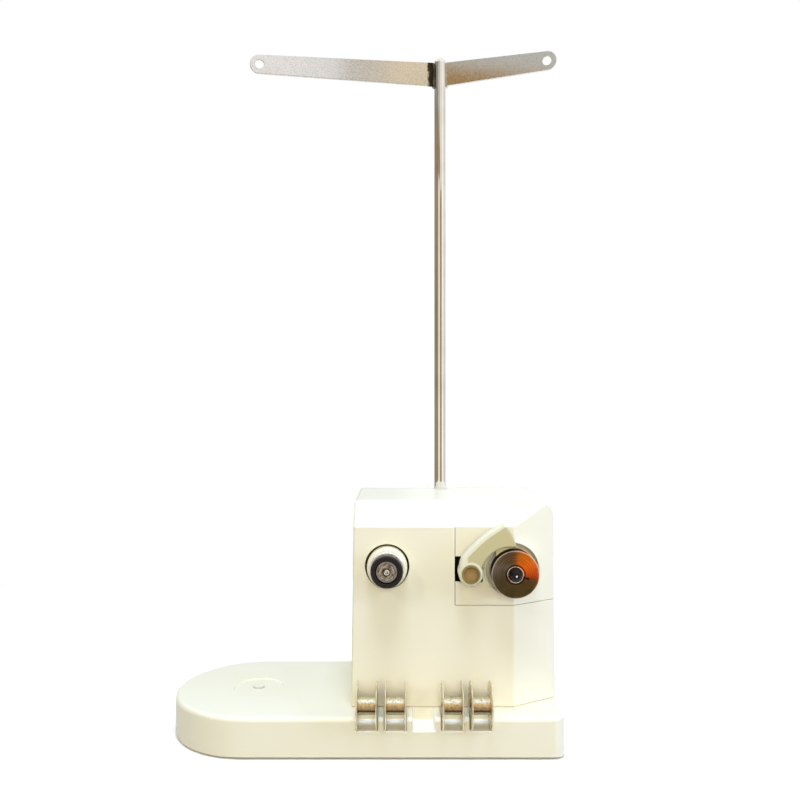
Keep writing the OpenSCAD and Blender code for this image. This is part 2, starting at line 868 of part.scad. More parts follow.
module spindle_clip() {
    color(steel)
        tube_y(spindle_x, spindle_z, frame_back + 1.8, frame_back + 2.8, journal_radius + 1.8,
            journal_radius + fit_clearance);
}

// one flange of a bobbin, square to X at the origin
module flange(slit) {
    difference() {
        rotate([0, 90, 0])
            cylinder(h = flange_thickness, r = bobbin_radius);
        translate([-1, 0, 0])
            rotate([0, 90, 0])
                cylinder(h = flange_thickness + 2, r = bobbin_bore_radius);
        if (slit)
            rotate([-18, 0, 0])
                translate([-1, hub_radius + 0.2, -0.5])
                    cube([flange_thickness + 2, slit_length, 1]);
    }
}

// bobbin with its axis along X, front flange at X = 0: two flanges pressed onto a hub
module bobbin() {
    flange(true);
    translate([flange_thickness + fit_clearance, 0, 0])
        rotate([0, 90, 0])
            difference() {
                cylinder(h = bobbin_width - 2 * flange_thickness - 2 * fit_clearance, r = hub_radius);
                translate([0, 0, -1])
                    cylinder(h = bobbin_width + 2, r = bobbin_bore_radius);
            }
    translate([bobbin_width - flange_thickness, 0, 0])
        flange(false);
}

module winding_bobbin() {
    color(steel)
        translate([spindle_x, bobbin_front, spindle_z])
            rotate([0, 0, 90])
                mirror([0, 1, 0])
                    bobbin();
}

// spare bobbin standing in a slot, counted from the left
module spare(i) {
    color(steel)
        translate([slot_x(i) - bobbin_width / 2, spare_y, spare_z])
            bobbin();
}

module spare_bobbin_1() {
    spare(0);
}

module spare_bobbin_2() {
    spare(1);
}

module spare_bobbin_3() {
    spare(3);
}

module spare_bobbin_4() {
    spare(4);
}

// round patch given by its centre and radius
module patch(arc) {
    translate([arc[0], arc[1]])
        circle(r = arc[2], $fn = 96);
}

// lever outline: three arcs, and the hollow side that clears the bobbin
module lever_shape() {
    difference() {
        scale(lever_scale) {
            intersection() {
                patch(lever_top_arc);
                patch(lever_right_arc);
                translate(lever_shoulder)
                    square(30);
            }
            intersection() {
                patch(lever_left_arc);
                translate([-10, 0])
                    square(20);
            }
        }
        translate([lever_to_spindle - 0.8, -1])
            circle(r = lever_hollow_radius * lever_scale);
    }
}

// finger below the lever's tip, which swings in between the bobbin's flanges
module finger_shape() {
    intersection() {
        difference() {
            translate([lever_to_spindle - 0.8, -1])
                circle(r = (lever_hollow_radius + 1) * lever_scale);
            translate([lever_to_spindle, 0])
                circle(r = bobbin_radius + finger_clearance);
        }
        translate([lever_to_spindle - 8 * lever_scale, 0])
            square([8.6 * lever_scale, 20]);
    }
}

module stop_lever() {
    color(ivory)
        difference() {
            translate([lever_x, 0, spindle_z]) {
                slab_y(lever_y, lever_y + lever_depth)
                    lever_shape();
                slab_y(finger_front, finger_front + finger_depth)
                    finger_shape();
                slab_y(lever_y, lever_boss_back)
                    circle(r = lever_boss_radius);
            }
            bar_y(lever_x, spindle_z, lever_y - 1, lever_boss_back + 1, lever_shaft_radius + fit_clearance);
        }
}

module lever_screw() {
    color(brass)
        difference() {
            union() {
                bar_y(lever_x, spindle_z, lever_y - lever_screw_height, lever_y, lever_screw_radius);
                bar_y(lever_x, spindle_z, lever_y - 0.5, lever_y + 5, lever_shaft_radius - 1);
            }
            bar_y(lever_x, spindle_z, lever_y - lever_screw_height - 1, lever_y - lever_screw_height + 0.5,
                lever_screw_radius - 1);
        }
}

module lever_shaft() {
    color(steel)
        difference() {
            bar_y(lever_x, spindle_z, lever_y + 0.3, frame_back + 6.2, lever_shaft_radius);
            bar_y(lever_x, spindle_z, lever_y - 1, lever_y + 5.5, lever_shaft_radius - 1 + fit_clearance);
        }
}

module lever_bush() {
    color(brass)
        difference() {
            union() {
                bar_y(lever_x, spindle_z, frame_front, frame_back + 4, bush_radius);
                bar_y(lever_x, spindle_z, frame_back, frame_back + 1.2, bush_radius + 1.2);
            }
            bar_y(lever_x, spindle_z, frame_front - 1, frame_back + 5, lever_shaft_radius + run_clearance);
        }
}

module lever_washer() {
    color(black)
        tube_y(lever_x, spindle_z, crank_back + 0.2, frame_front - 0.1, bush_radius,
            lever_shaft_radius + run_clearance);
}

module lever_crank() {
    color(black)
        difference() {
            translate([lever_x, 0, spindle_z])
                slab_y(crank_front, crank_back) {
                    circle(r = 4.5);
                    polygon([
                        [0, 4], [-crank_length - 0.6, -crank_drop + 3], [-crank_length - 0.6, -crank_drop],
                        [-crank_length + 3.4, -crank_drop], [2, -4]
                    ]);
                }
            bar_y(lever_x, spindle_z, crank_front - 1, crank_back + 1, lever_shaft_radius + fit_clearance);
        }
}

module lever_clip() {
    color(steel)
        tube_y(lever_x, spindle_z, frame_back + 4.3, frame_back + 5.3, lever_shaft_radius + 1.8,
            lever_shaft_radius + fit_clearance);
}

module switch_body() {
    color(black)
        difference() {
            translate([switch_right - switch_length, frame_front - switch_depth, switch_top - switch_height])
                cube([switch_length, switch_depth, switch_height]);
            translate([plunger_x - 1.6, frame_front - switch_depth / 2 - 1.6, switch_top - 5])
                cube([3.2, 3.2, 6]);
            for (side = [0, 1])
                bar_y(switch_right - 5 - side * 9.5, switch_top - switch_height + 2.8,
                    frame_front - switch_depth - 1, frame_front + 1, screw_radius - 0.4);
        }
}

module switch_plunger() {
    color([0.7, 0.15, 0.1])
        translate([plunger_x - 1.4, frame_front - switch_depth / 2 - 1.4, switch_top - 4])
            cube([2.8, 2.8, plunger_top - switch_top + 4]);
}

module switch_terminals() {
    color(brass)
        for (i = [0 : 2])
            translate([switch_right - 2.6 - i * 7, frame_front - switch_depth / 2 - 1,
                    switch_top - switch_height - 3.5])
                cube([0.6, 2, 3.5]);
}

module switch_screws() {
    color(steel)
        for (side = [0, 1]) {
            x = switch_right - 5 - side * 9.5;
            z = switch_top - switch_height + 2.8;
            bar_y(x, z, frame_front - switch_depth - 1.2, frame_front - switch_depth, screw_radius + 0.6);
            bar_y(x, z, frame_front - switch_depth - 0.5, frame_back, screw_radius - 0.4 - fit_clearance);
        }
}

module tension_cap() {
    color(ivory)
        turned_y(tension_x, tension_z) {
            polygon([
                [stud_radius + fit_clearance, cap_seat], [3, cap_seat], [3, cap_front],
                [cap_radius - 1.2, cap_front], [cap_radius, cap_front + 1.2], [cap_radius, inner_y + 1.5],
                [4, inner_y + 1.5], [4, frame_front], [stud_radius + fit_clearance, frame_front]
            ]);
            translate([cap_radius - 1.2, cap_front + 1.2])
                circle(r = 1.2);
        }
}

module tension_stud() {
    color(steel)
        bar_y(tension_x, tension_z, knob_front - 0.6, frame_back + 4.5, stud_radius);
}

module rear_tension_disc() {
    color(steel)
        turned_y(tension_x, tension_z)
            polygon([
                [stud_radius + run_clearance, disc_meet], [disc_radius - 2.4, disc_meet],
                [disc_radius, disc_meet + disc_flare],
                [disc_radius, disc_meet + disc_flare + disc_thickness],
                [disc_radius - 2.6, disc_meet + disc_thickness],
                [stud_radius + run_clearance, disc_meet + disc_thickness]
            ]);
}

module front_tension_disc() {
    color(steel)
        turned_y(tension_x, tension_z)
            polygon([
                [stud_radius + run_clearance, front_disc_front], [disc_radius - 2.6, front_disc_front],
                [disc_radius, front_disc_front - disc_flare],
                [disc_radius, front_disc_back - disc_flare],
                [disc_radius - 2.4, front_disc_back], [stud_radius + run_clearance, front_disc_back]
            ]);
}

module tension_knob() {
    color(black)
        turned_y(tension_x, tension_z)
            polygon([
                [stud_radius + run_clearance, knob_pocket], [spring_radius + 1.2, knob_pocket],
                [spring_radius + 1.2, knob_back], [knob_radius - 0.5, knob_back],
                [knob_radius, knob_back - 0.5], [knob_radius, knob_front + 0.5],
                [knob_radius - 0.5, knob_front], [knob_nut_radius + 0.3, knob_front],
                [knob_nut_radius + 0.2, knob_cup], [stud_radius + run_clearance, knob_cup]
            ]);
}

module tension_nut() {
    color(steel)
        difference() {
            union() {
                bar_y(tension_x, tension_z, knob_cup - 0.7, knob_cup, knob_nut_radius);
                slab_y(knob_front - 0.2, knob_cup)
                    translate([tension_x, tension_z]) {
                        circle(r = crown_radius - 0.5);
                        for (i = [1 : crown_lobes])
                            rotate(90 + 360 * i / crown_lobes)
                                translate([crown_radius - 0.9, 0])
                                    circle(r = 0.9);
                    }
            }
            bar_y(tension_x, tension_z, knob_front - 1, knob_cup + 1, stud_radius + run_clearance);
        }
}

// points of the spring's wire, eight rings to a turn and six sides to a ring
spring_rings = floor(spring_turns * 8);
spring_rise = spring_back - spring_front - 2 * spring_wire_radius;
spring_path = [
    for (k = [0 : spring_rings])
        [
            tension_x + spring_radius * cos(45 * k),
            spring_front + spring_wire_radius + spring_rise * k / spring_rings,
            tension_z + spring_radius * sin(45 * k)
        ]
];
spring_points = [
    for (k = [0 : spring_rings], j = [0 : 5])
        spring_path[k] + spring_wire_radius * [
            cos(60 * j) * cos(45 * k), sin(60 * j), cos(60 * j) * sin(45 * k)
        ]
];
spring_faces = concat(
    [for (j = [1 : 4]) [0, j, j + 1]],
    [for (j = [1 : 4]) [6 * spring_rings, 6 * spring_rings + j + 1, 6 * spring_rings + j]],
    [
        for (k = [0 : spring_rings - 1], j = [0 : 5], half = [0, 1])
            half == 0
                ? [6 * k + j, 6 * k + 6 + j, 6 * k + (j + 1) % 6]
                : [6 * k + (j + 1) % 6, 6 * k + 6 + j, 6 * k + 6 + (j + 1) % 6]
    ]
);
spring_least_gap = min([
    for (a = [0 : spring_rings], b = [0 : spring_rings])
        if (b - a > 5)
            norm(spring_path[b] - spring_path[a]) - 2 * spring_wire_radius
]);
echo(spring_least_gap = spring_least_gap);

module tension_spring() {
    color(steel)
        polyhedron(points = spring_points, faces = spring_faces);
}

module tension_back_nut() {
    color(steel)
        difference() {
            slab_y(frame_back, frame_back + 3)
                translate([tension_x, tension_z])
                    circle(r = 3.6, $fn = 6);
            bar_y(tension_x, tension_z, frame_back - 1, frame_back + 4, stud_radius + fit_clearance);
        }
}

module mast() {
    color(steel)
        difference() {
            union() {
                translate([mast_x, mast_y, house_top - mast_depth])
                    cylinder(h = mast_top - mast_radius - house_top + mast_depth, r = mast_radius);
                translate([mast_x, mast_y, mast_top - mast_radius])
                    sphere(r = mast_radius);
            }
            bar_y(mast_x, guide_z, mast_y, mast_y + mast_radius + 1, 1.2 + fit_clearance);
        }
}

// outline of one guide arm from the mast out, with its eye
module arm_outline(reach) {
    start = mast_radius + fit_clearance + socket_wall / 2;
    difference() {
        union() {
            polygon([
                [start, -strip_root_height / 2], [reach, -strip_end_height / 2],
                [reach, strip_end_height / 2], [start, strip_root_height / 2]
            ]);
            translate([reach, 0])
                circle(r = strip_end_height / 2);
        }
        translate([reach, 0])
            circle(r = eye_radius);
    }
}

// guide arm standing on edge, turned to its direction
module arm(reach, angle) {
    translate([mast_x, mast_y, guide_z])
        rotate([0, 0, angle])
            rotate([90, 0, 0])
                linear_extrude(height = strip_thickness, center = true)
                    arm_outline(reach);
}

module guide_arm() {
    color(steel)
        difference() {
            union() {
                arm(left_arm_length, 180 + left_arm_angle);
                arm(right_arm_length, -right_arm_angle);
                translate([mast_x, mast_y, guide_z - strip_height / 2])
                    rotate([0, 0, -right_arm_angle])
                        rotate_extrude(angle = 180 + left_arm_angle + right_arm_angle)
                            translate([mast_radius + fit_clearance, 0])
                                square([socket_wall, strip_height]);
            }
            bar_y(mast_x, guide_z, mast_y, mast_y + mast_radius + 4, 1.2 + fit_clearance);
        }
}

module arm_rivet() {
    color(dark_steel) {
        bar_y(mast_x, guide_z, mast_y + 0.2, mast_y + mast_radius + socket_wall + 0.5, 1.2);
        bar_y(mast_x, guide_z, mast_y + mast_radius + socket_wall + fit_clearance,
            mast_y + mast_radius + socket_wall + 1.2, 2.3);
    }
}

module mast_socket() {
    color(brass)
        translate([mast_x, mast_y, socket_bottom])
            difference() {
                cylinder(h = socket_length - fit_clearance, r = socket_radius);
                translate([0, 0, -1])
                    cylinder(h = socket_length + 2, r = mast_radius + run_clearance);
            }
}

module mast_collar() {
    color(steel)
        translate([mast_x, mast_y, socket_bottom - 5.1])
            difference() {
                cylinder(h = 5, r = mast_radius + 0.9);
                translate([0, 0, -1])
                    cylinder(h = 7, r = mast_radius + fit_clearance);
            }
}

module control_board() {
    color([0.1, 0.35, 0.2])
        difference() {
            translate([board_left, board_front, board_bottom])
                cube([board_width, board_thickness, board_height]);
            for (sx = [3, board_width - 3], sz = [3, board_height - 3])
                bar_y(board_left + sx, board_bottom + sz, board_front - 1, board_back + 1,
                    1.2 + fit_clearance);
        }
}

module board_parts() {
    color(dark_steel) {
        bar_y(board_left + 8, board_bottom + 11 * board_scale, board_front - 8, board_front,
            4 * board_scale);
        translate([board_left + 14, board_front - 4, board_bottom + 8 * board_scale])
            cube([6, 4, 10 * board_scale]);
        translate([board_left + 6, board_front - 5, board_bottom + 20 * board_scale])
            cube([11, 5, 5 * board_scale]);
    }
}

module board_spacers() {
    color(steel)
        for (sx = [3, board_width - 3], sz = [3, board_height - 3]) {
            bar_y(board_left + sx, board_bottom + sz, board_back, frame_front, 2.2);
            bar_y(board_left + sx, board_bottom + sz, board_front - 1, board_back + 1, 1.2);
        }
}

module power_inlet() {
    color(black)
        difference() {
            union() {
                bar_y(inlet_x, inlet_z, y_back - 11, y_back + 1, inlet_radius);
                bar_y(inlet_x, inlet_z, y_back, y_back + 2, inlet_radius + 1.6);
            }
            bar_y(inlet_x, inlet_z, y_back - 9, y_back + 3, inlet_radius - 1);
        }
}

module inlet_pin() {
    color(brass)
        bar_y(inlet_x, inlet_z, y_back - 9, y_back - 0.5, 1);
}

module inlet_nut() {
    color(steel)
        difference() {
            slab_y(y_back - shell_wall - 2.6, y_back - shell_wall)
                translate([inlet_x, inlet_z])
                    circle(r = inlet_radius + 2.4, $fn = 6);
            bar_y(inlet_x, inlet_z, y_back - shell_wall - 4, y_back, inlet_radius + fit_clearance);
        }
}

base_shell();
bottom_plate();
base_screws();
rubber_sole();
housing_cover();
winder_panel();
cover_screws();
panel_screws();
drive_frame();
frame_screws();
motor_can();
motor_cap();
motor_terminals();
motor_screws();
motor_shaft();
motor_pulley();
drive_belt();
spindle_shaft();
bobbin_seat();
spindle_pulley();
front_bush();
rear_bush();
spindle_clip();
winding_bobbin();
stop_lever();
lever_screw();
lever_shaft();
lever_bush();
lever_washer();
lever_crank();
lever_clip();
switch_body();
switch_plunger();
switch_terminals();
switch_screws();
tension_cap();
tension_stud();
rear_tension_disc();
front_tension_disc();
tension_knob();
tension_nut();
tension_spring();
tension_back_nut();
mast();
guide_arm();
arm_rivet();
mast_socket();
mast_collar();
spare_bobbin_1();
spare_bobbin_2();
spare_bobbin_3();
spare_bobbin_4();
control_board();
board_parts();
board_spacers();
power_inlet();
inlet_pin();
inlet_nut();
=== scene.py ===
import json
import math

import bmesh
import bpy
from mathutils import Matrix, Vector


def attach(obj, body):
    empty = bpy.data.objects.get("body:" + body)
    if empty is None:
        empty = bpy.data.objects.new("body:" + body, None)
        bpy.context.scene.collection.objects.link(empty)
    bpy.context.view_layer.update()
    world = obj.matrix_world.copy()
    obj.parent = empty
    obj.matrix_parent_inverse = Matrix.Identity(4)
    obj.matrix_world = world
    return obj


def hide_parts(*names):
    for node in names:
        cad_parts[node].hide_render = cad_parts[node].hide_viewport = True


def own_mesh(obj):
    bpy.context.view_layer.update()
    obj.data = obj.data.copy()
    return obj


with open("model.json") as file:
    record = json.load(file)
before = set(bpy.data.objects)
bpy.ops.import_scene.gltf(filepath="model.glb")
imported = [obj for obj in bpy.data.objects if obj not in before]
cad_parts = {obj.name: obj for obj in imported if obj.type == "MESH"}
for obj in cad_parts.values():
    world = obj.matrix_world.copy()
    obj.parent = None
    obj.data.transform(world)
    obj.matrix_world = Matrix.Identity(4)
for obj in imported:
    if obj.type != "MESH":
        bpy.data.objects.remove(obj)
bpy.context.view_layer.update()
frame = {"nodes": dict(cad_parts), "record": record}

scene = bpy.context.scene
MM = 0.001

# Sizes and places in millimetres, in the frame of the solids. A place on the front is X and Z.
SPINDLE = (66.6, 79.0)
LEVER = (47.6, 79.0)
TENSION = (11.3, 80.3)

# Base: the cone dish with its nub, the ends and the floor of the row of slots, and the posts of the screws.
SOLE_HEIGHT = 1.0
DECK = 18.0
HALF_DEPTH = 38.0
RIGHT_END = 88.0
DISH = (-50.0, 0.0)
DISH_RADIUS = 11.5
DISH_FLOOR = 17.5
NUB_RADIUS = 2.6
SLOT_ROW = (-5.0, 60.0)
SLOT_FLOOR = 12.3
SCREW_POSTS = ((-75.0, 0.0), (-16.15, -27.0), (-16.15, 27.0), (77.0, -27.0), (77.0, 27.0))
# The rounding of the slots' edges reaches a little below their floor.
SLOT_LOWEST = SLOT_FLOOR - 0.8

# Housing: its sides lean in over their height, and a facet runs back to the right along X and Y.
HOUSE_LEFT = -4.7
HOUSE_FRONT = -26.0
HOUSE_TOP = 108.4
SIDE_LEAN = 1.2
CREASE = 97.8
FACET_START = 67.4
FACET_RUN = (20.6, 12.0)
# The edges of the hole for the tension unit lie within this reach of its middle.
TENSION_REACH = 11.0
# Winder panel: the upright and the level part of its seam, its back and how far its collar reaches.
SEAM = (41.2, 63.0)
PANEL_BACK = -5.0
COLLAR_REACH = 13.2

# Bobbins: the slit for the thread end is cut through the front flange at a tilt in degrees.
BOBBIN_RADIUS = 10.3
BOBBIN_WIDTH = 8.9
BOBBIN_FRONT = -37.0
HUB_RADIUS = 3.6
BORE_RADIUS = 3.05
FLANGE = 0.5
SLIT_ENDS = (HUB_RADIUS + 0.2, HUB_RADIUS + 2.6)
SLIT_HALF_WIDTH = 0.5
SLIT_TILT = -18.0
# Spare bobbins: their middles along X, and Y and Z of the line that they share.
SPARES = (2.8, 15.0, 39.4, 51.6)
SPARE_AT = (-36.5, 22.7)

# Stop lever with its boss behind and its finger. Circles are X, Z and radius, from the lever's shaft.
LEVER_FRONT = -35.5
LEVER_DEPTH = 5.5
LEVER_BACK = -27.0
LEVER_BORE = 2.3
LEVER_ROUNDING = 0.7
LEVER_BOSS = (0.0, 0.0, 5.3)
LEVER_LEFT = (4.5, 2.5, 9.3)
LEVER_TOP = (47.7, -37.3, 67.8)
LEVER_TIP = (1.2, 7.8, 18.9)
LEVER_HOLLOW = (16.9, -1.2, 12.7)
FINGER_TOP = (18.2, -1.0, 13.8)
FINGER_BELOW = (19.0, 0.0, 10.9)
FINGER_ENDS = (11.0, 19.6)
FINGER_DEPTHS = (1.45, 4.05)
# Its plastic is paler inside a circle on the boss; beyond circles along the upper edge and at the tip it is
# painted lighter, a painted highlight where the rounded edge catches light.
CLEAN_BOSS = (0.0, 0.0, 5.0)
HIGHLIGHT_RIMS = ((LEVER_TOP[0], LEVER_TOP[1], LEVER_TOP[2] - 1.7), (15.0, 6.0, 16.4))

# Tension nut, from the floor of the knob's cup to its front, and the fold of the guide strip along X.
KNOB_CUP = -36.97
NUT_FRONT = -38.77
STRIP_FOLD = (30.8, 34.6)

# How near a point has to be to an edge, a rim, the foot or an outer face to be on it.
NEAR_EDGE = 0.1
NEAR_RIM = 0.5
NEAR_FOOT = 0.3
NEAR_FACE = 0.08
# Share of the full rounding that the edges along the seam get.
SEAM_SHARE = 0.15
# Points closer than this are one point, and faces that turn less than this, in degrees, are one face.
MERGE = 0.02
FLAT_TURN = 0.4
# Edges that turn less than this, in degrees, are shaded as curves: on turned and on rounded pieces.
TURNED_CURVE = 40.0
ROUNDED_CURVE = 50.0

# Camera: level, as far off and as high as the perspective of base, housing and mast says.
lens = bpy.data.cameras.new("photo_lens")
lens.lens = 36.0
lens.sensor_width = 36.0
lens.clip_start = 0.01
lens.clip_end = 50.0
camera = bpy.data.objects.new("photo_camera", lens)
camera.location = (0.017, -0.380, 0.154)
camera.rotation_euler = (math.radians(90.0), 0.0, 0.0)
scene.collection.objects.link(camera)
scene.camera = camera
scene.view_settings.view_transform = "Standard"


def linear(code):
    """An sRGB hex colour as linear red, green, blue and alpha."""
    parts = [int(code[i:i + 2], 16) / 255 for i in (1, 3, 5)]
    return tuple(p / 12.92 if p <= 0.04045 else ((p + 0.055) / 1.055) ** 2.4 for p in parts) + (1.0,)


def add(tree, kind, settings, links=None):
    """One node with its settings and links.

    Lower-case settings are the node's own, stops are a colour ramp's places and sRGB colours, and the others
    are sockets. A link comes from a socket, from a node's first output, or from a list of those.
    """
    node = tree.nodes.new(kind)
    for key, value in settings.items():
        if key == "stops":
            band = node.color_ramp
            while len(band.elements) < len(value):
                band.elements.new(0.5)
            for element, (place, code) in zip(band.elements, value):
                element.position = place
                element.color = linear(code)
        elif isinstance(key, str) and key.islower():
            setattr(node, key, value)
        else:
            node.inputs[key].default_value = value
    for key, sources in (links or {}).items():
        for source in sources if isinstance(sources, list) else [sources]:
            socket = source.outputs[0] if isinstance(source, bpy.types.Node) else source
            tree.links.new(socket, node.inputs[key])
    return node


def new_finish(name):
    """An empty material, its node tree and the Object coordinates that its patterns read."""
    finish = bpy.data.materials.new(name)
    finish.use_nodes = True
    finish.node_tree.nodes.clear()
    coords = add(finish.node_tree, "ShaderNodeTexCoord", {})
    return finish, finish.node_tree, coords.outputs["Object"]


def close_finish(finish, settings, tone, bump, pattern, low, high):
    """Ends a material in one Principled shader, whose roughness follows a noise pattern from low to high."""
    tree = finish.node_tree
    gloss = add(tree, "ShaderNodeMapRange", {"From Min": 0.3, "From Max": 0.7, "To Min": low, "To Max": high},
                {"Value": pattern})
    shader = add(tree, "ShaderNodeBsdfPrincipled", settings,
                 {"Base Color": tone, "Normal": bump, "Roughness": gloss})
    add(tree, "ShaderNodeOutputMaterial", {}, {"Surface": shader})
    return finish


def per_mm(size):
    """Texture scale that makes one period of a pattern about that many millimetres.

    Mould grain, draw lines and lathe rings are finer on the real thing; here they are coarse enough to show.
    """
    return 1.0 / (size * MM)


def moulded_plastic(name, pale, deep, roughness, grain=0.05):
    """Injection-moulded plastic: colour that drifts a little over the part, fine mould grain, soft gloss."""
    finish, tree, place = new_finish(name)
    drift = add(tree, "ShaderNodeTexNoise", {"Scale": per_mm(70), "Detail": 3.0, "Roughness": 0.55},
                {"Vector": place})
    tone = add(tree, "ShaderNodeValToRGB", {"stops": ((0.3, deep), (0.72, pale))}, {"Fac": drift})
    speck = add(tree, "ShaderNodeTexNoise", {"Scale": per_mm(1.2), "Detail": 2.0}, {"Vector": place})
    dimple = add(tree, "ShaderNodeTexNoise", {"Scale": per_mm(0.55), "Detail": 1.0}, {"Vector": place})
    bump = add(tree, "ShaderNodeBump", {"Strength": grain, "Distance": 0.05 * MM}, {"Height": dimple})
    return close_finish(finish, {"IOR": 1.5}, tone, bump, speck, roughness - 0.05, roughness + 0.05)


def yellowed_plastic(name, pale_and_highlight, handled, boss, rims):
    """Plastic yellowed by handling, but paler in the lever's boss circle and, as a painted highlight, beyond
    the rim circles.
    """
    finish, tree, place = new_finish(name)
    flat = add(tree, "ShaderNodeVectorMath", {"operation": "MULTIPLY", 1: (1.0, 0.0, 1.0)}, {0: place})
    cloud = add(tree, "ShaderNodeTexNoise", {"Scale": per_mm(6), "Detail": 3.0}, {"Vector": place})
    shares = []
    for x, z, radius in (boss, *rims):
        centre = ((LEVER[0] + x) * MM, 0.0, (LEVER[1] + z) * MM)
        away = add(tree, "ShaderNodeVectorMath", {"operation": "DISTANCE", 1: centre}, {0: flat})
        wander = add(tree, "ShaderNodeMath", {"operation": "MULTIPLY_ADD", 1: 0.5 * MM},
                     {0: cloud, 2: away.outputs["Value"]})
        edge = {"interpolation_type": "SMOOTHSTEP", "From Min": radius * MM, "From Max": (radius + 0.5) * MM}
        shares.append(add(tree, "ShaderNodeMapRange", edge, {"Value": wander}))
    either = add(tree, "ShaderNodeMath", {"operation": "SUBTRACT", 0: 1.0}, {1: shares[0]})
    for share in shares[1:]:
        either = add(tree, "ShaderNodeMath", {"operation": "MAXIMUM"}, {0: either, 1: share})
    tone = add(tree, "ShaderNodeValToRGB", {"stops": ((0.0, handled), (1.0, pale_and_highlight))}, {"Fac": either})
    dimple = add(tree, "ShaderNodeTexNoise", {"Scale": per_mm(0.6), "Detail": 1.0}, {"Vector": place})
    bump = add(tree, "ShaderNodeBump", {"Strength": 0.05, "Distance": 0.05 * MM}, {"Height": dimple})
    return close_finish(finish, {"IOR": 1.48}, tone, bump, cloud, 0.32, 0.44)


def drawn_metal(name, light, dark, roughness, along):
    """Plated bar: fine draw lines along one direction, which streak the colour and the shine."""
    finish, tree, place = new_finish(name)
    squeeze = [per_mm(0.35)] * 3
    squeeze[along] = per_mm(60)
    stretched = add(tree, "ShaderNodeMapping", {"Scale": squeeze}, {"Vector": place})
    lines = add(tree, "ShaderNodeTexNoise", {"Scale": 1.0, "Detail": 3.0}, {"Vector": stretched})
    cloud = add(tree, "ShaderNodeTexNoise", {"Scale": per_mm(14), "Detail": 2.0}, {"Vector": place})
    both = add(tree, "ShaderNodeMath", {"operation": "MULTIPLY"}, {0: lines, 1: cloud})
    tone = add(tree, "ShaderNodeValToRGB", {"stops": ((0.12, dark), (0.34, light))}, {"Fac": both})
    bump = add(tree, "ShaderNodeBump", {"Strength": 0.06, "Distance": 0.02 * MM}, {"Height": lines})
    return close_finish(finish, {"Metallic": 1.0}, tone, bump, lines, roughness * 0.7, roughness * 1.4)


def turned_metal(name, zones, roughness, centre, cone=0.0, groove=0.5, metallic=1.0, specular=0.5):
    """Lathe-turned face: colours by radius in mm, rings, and a slight cone that fans reflections out."""
    finish, tree, place = new_finish(name)
    middle = (centre[0] * MM, 0.0, centre[1] * MM)
    centred = add(tree, "ShaderNodeVectorMath", {"operation": "SUBTRACT", 1: middle}, {0: place})
    flat = add(tree, "ShaderNodeVectorMath", {"operation": "MULTIPLY", 1: (1.0, 0.0, 1.0)}, {0: centred})
    radius = add(tree, "ShaderNodeVectorMath", {"operation": "LENGTH"}, {0: flat}).outputs["Value"]
    reach = zones[-1][0]
    share = add(tree, "ShaderNodeMath", {"operation": "MULTIPLY", 1: per_mm(reach)}, {0: radius})
    stops = [(r / reach, code) for r, code in zones]
    tone = add(tree, "ShaderNodeValToRGB", {"stops": stops}, {"Fac": share})
    step = add(tree, "ShaderNodeMath", {"operation": "MULTIPLY", 1: per_mm(groove)}, {0: radius})
    rings = add(tree, "ShaderNodeTexNoise", {"noise_dimensions": "1D", "Scale": 1.0, "Detail": 2.0},
                {"W": step})
    smear = add(tree, "ShaderNodeTexNoise", {"Scale": per_mm(4), "Detail": 4.0}, {"Vector": place})
    both = add(tree, "ShaderNodeMath", {"operation": "MULTIPLY"}, {0: rings, 1: smear})
    shade = add(tree, "ShaderNodeMapRange",
                {"From Min": 0.12, "From Max": 0.38, "To Min": 0.65, "To Max": 1.0}, {"Value": both})
    toned = add(tree, "ShaderNodeVectorMath", {"operation": "SCALE"}, {0: tone, "Scale": shade})
    slope = add(tree, "ShaderNodeMath", {"operation": "MULTIPLY", 1: -cone}, {0: radius})
    lathe = add(tree, "ShaderNodeMath", {"operation": "MULTIPLY_ADD", 1: 0.004 * MM}, {0: rings, 2: slope})
    bump = add(tree, "ShaderNodeBump", {"Strength": 1.0, "Distance": 1.0}, {"Height": lathe})
    return close_finish(finish, {"Metallic": metallic, "Specular IOR Level": specular}, toned, bump, rings,
                        roughness * 0.75, roughness * 1.3)


def blotched_metal(name, light, dark, roughness, patch, metallic=1.0):
    """Plated or plain metal whose skin is blotched: patches of two tones, with scratches in the shine."""
    finish, tree, place = new_finish(name)
    patches = add(tree, "ShaderNodeTexNoise", {"Scale": per_mm(patch), "Detail": 4.0, "Roughness": 0.65},
                  {"Vector": place})
    tone = add(tree, "ShaderNodeValToRGB", {"stops": ((0.36, dark), (0.64, light))}, {"Fac": patches})
    scratch = add(tree, "ShaderNodeTexNoise", {"Scale": per_mm(patch * 0.3), "Detail": 3.0},
                  {"Vector": place})
    bump = add(tree, "ShaderNodeBump", {"Strength": 0.08, "Distance": 0.03 * MM}, {"Height": scratch})
    return close_finish(finish, {"Metallic": metallic}, tone, bump, scratch,
                        roughness * 0.7, roughness * 1.35)


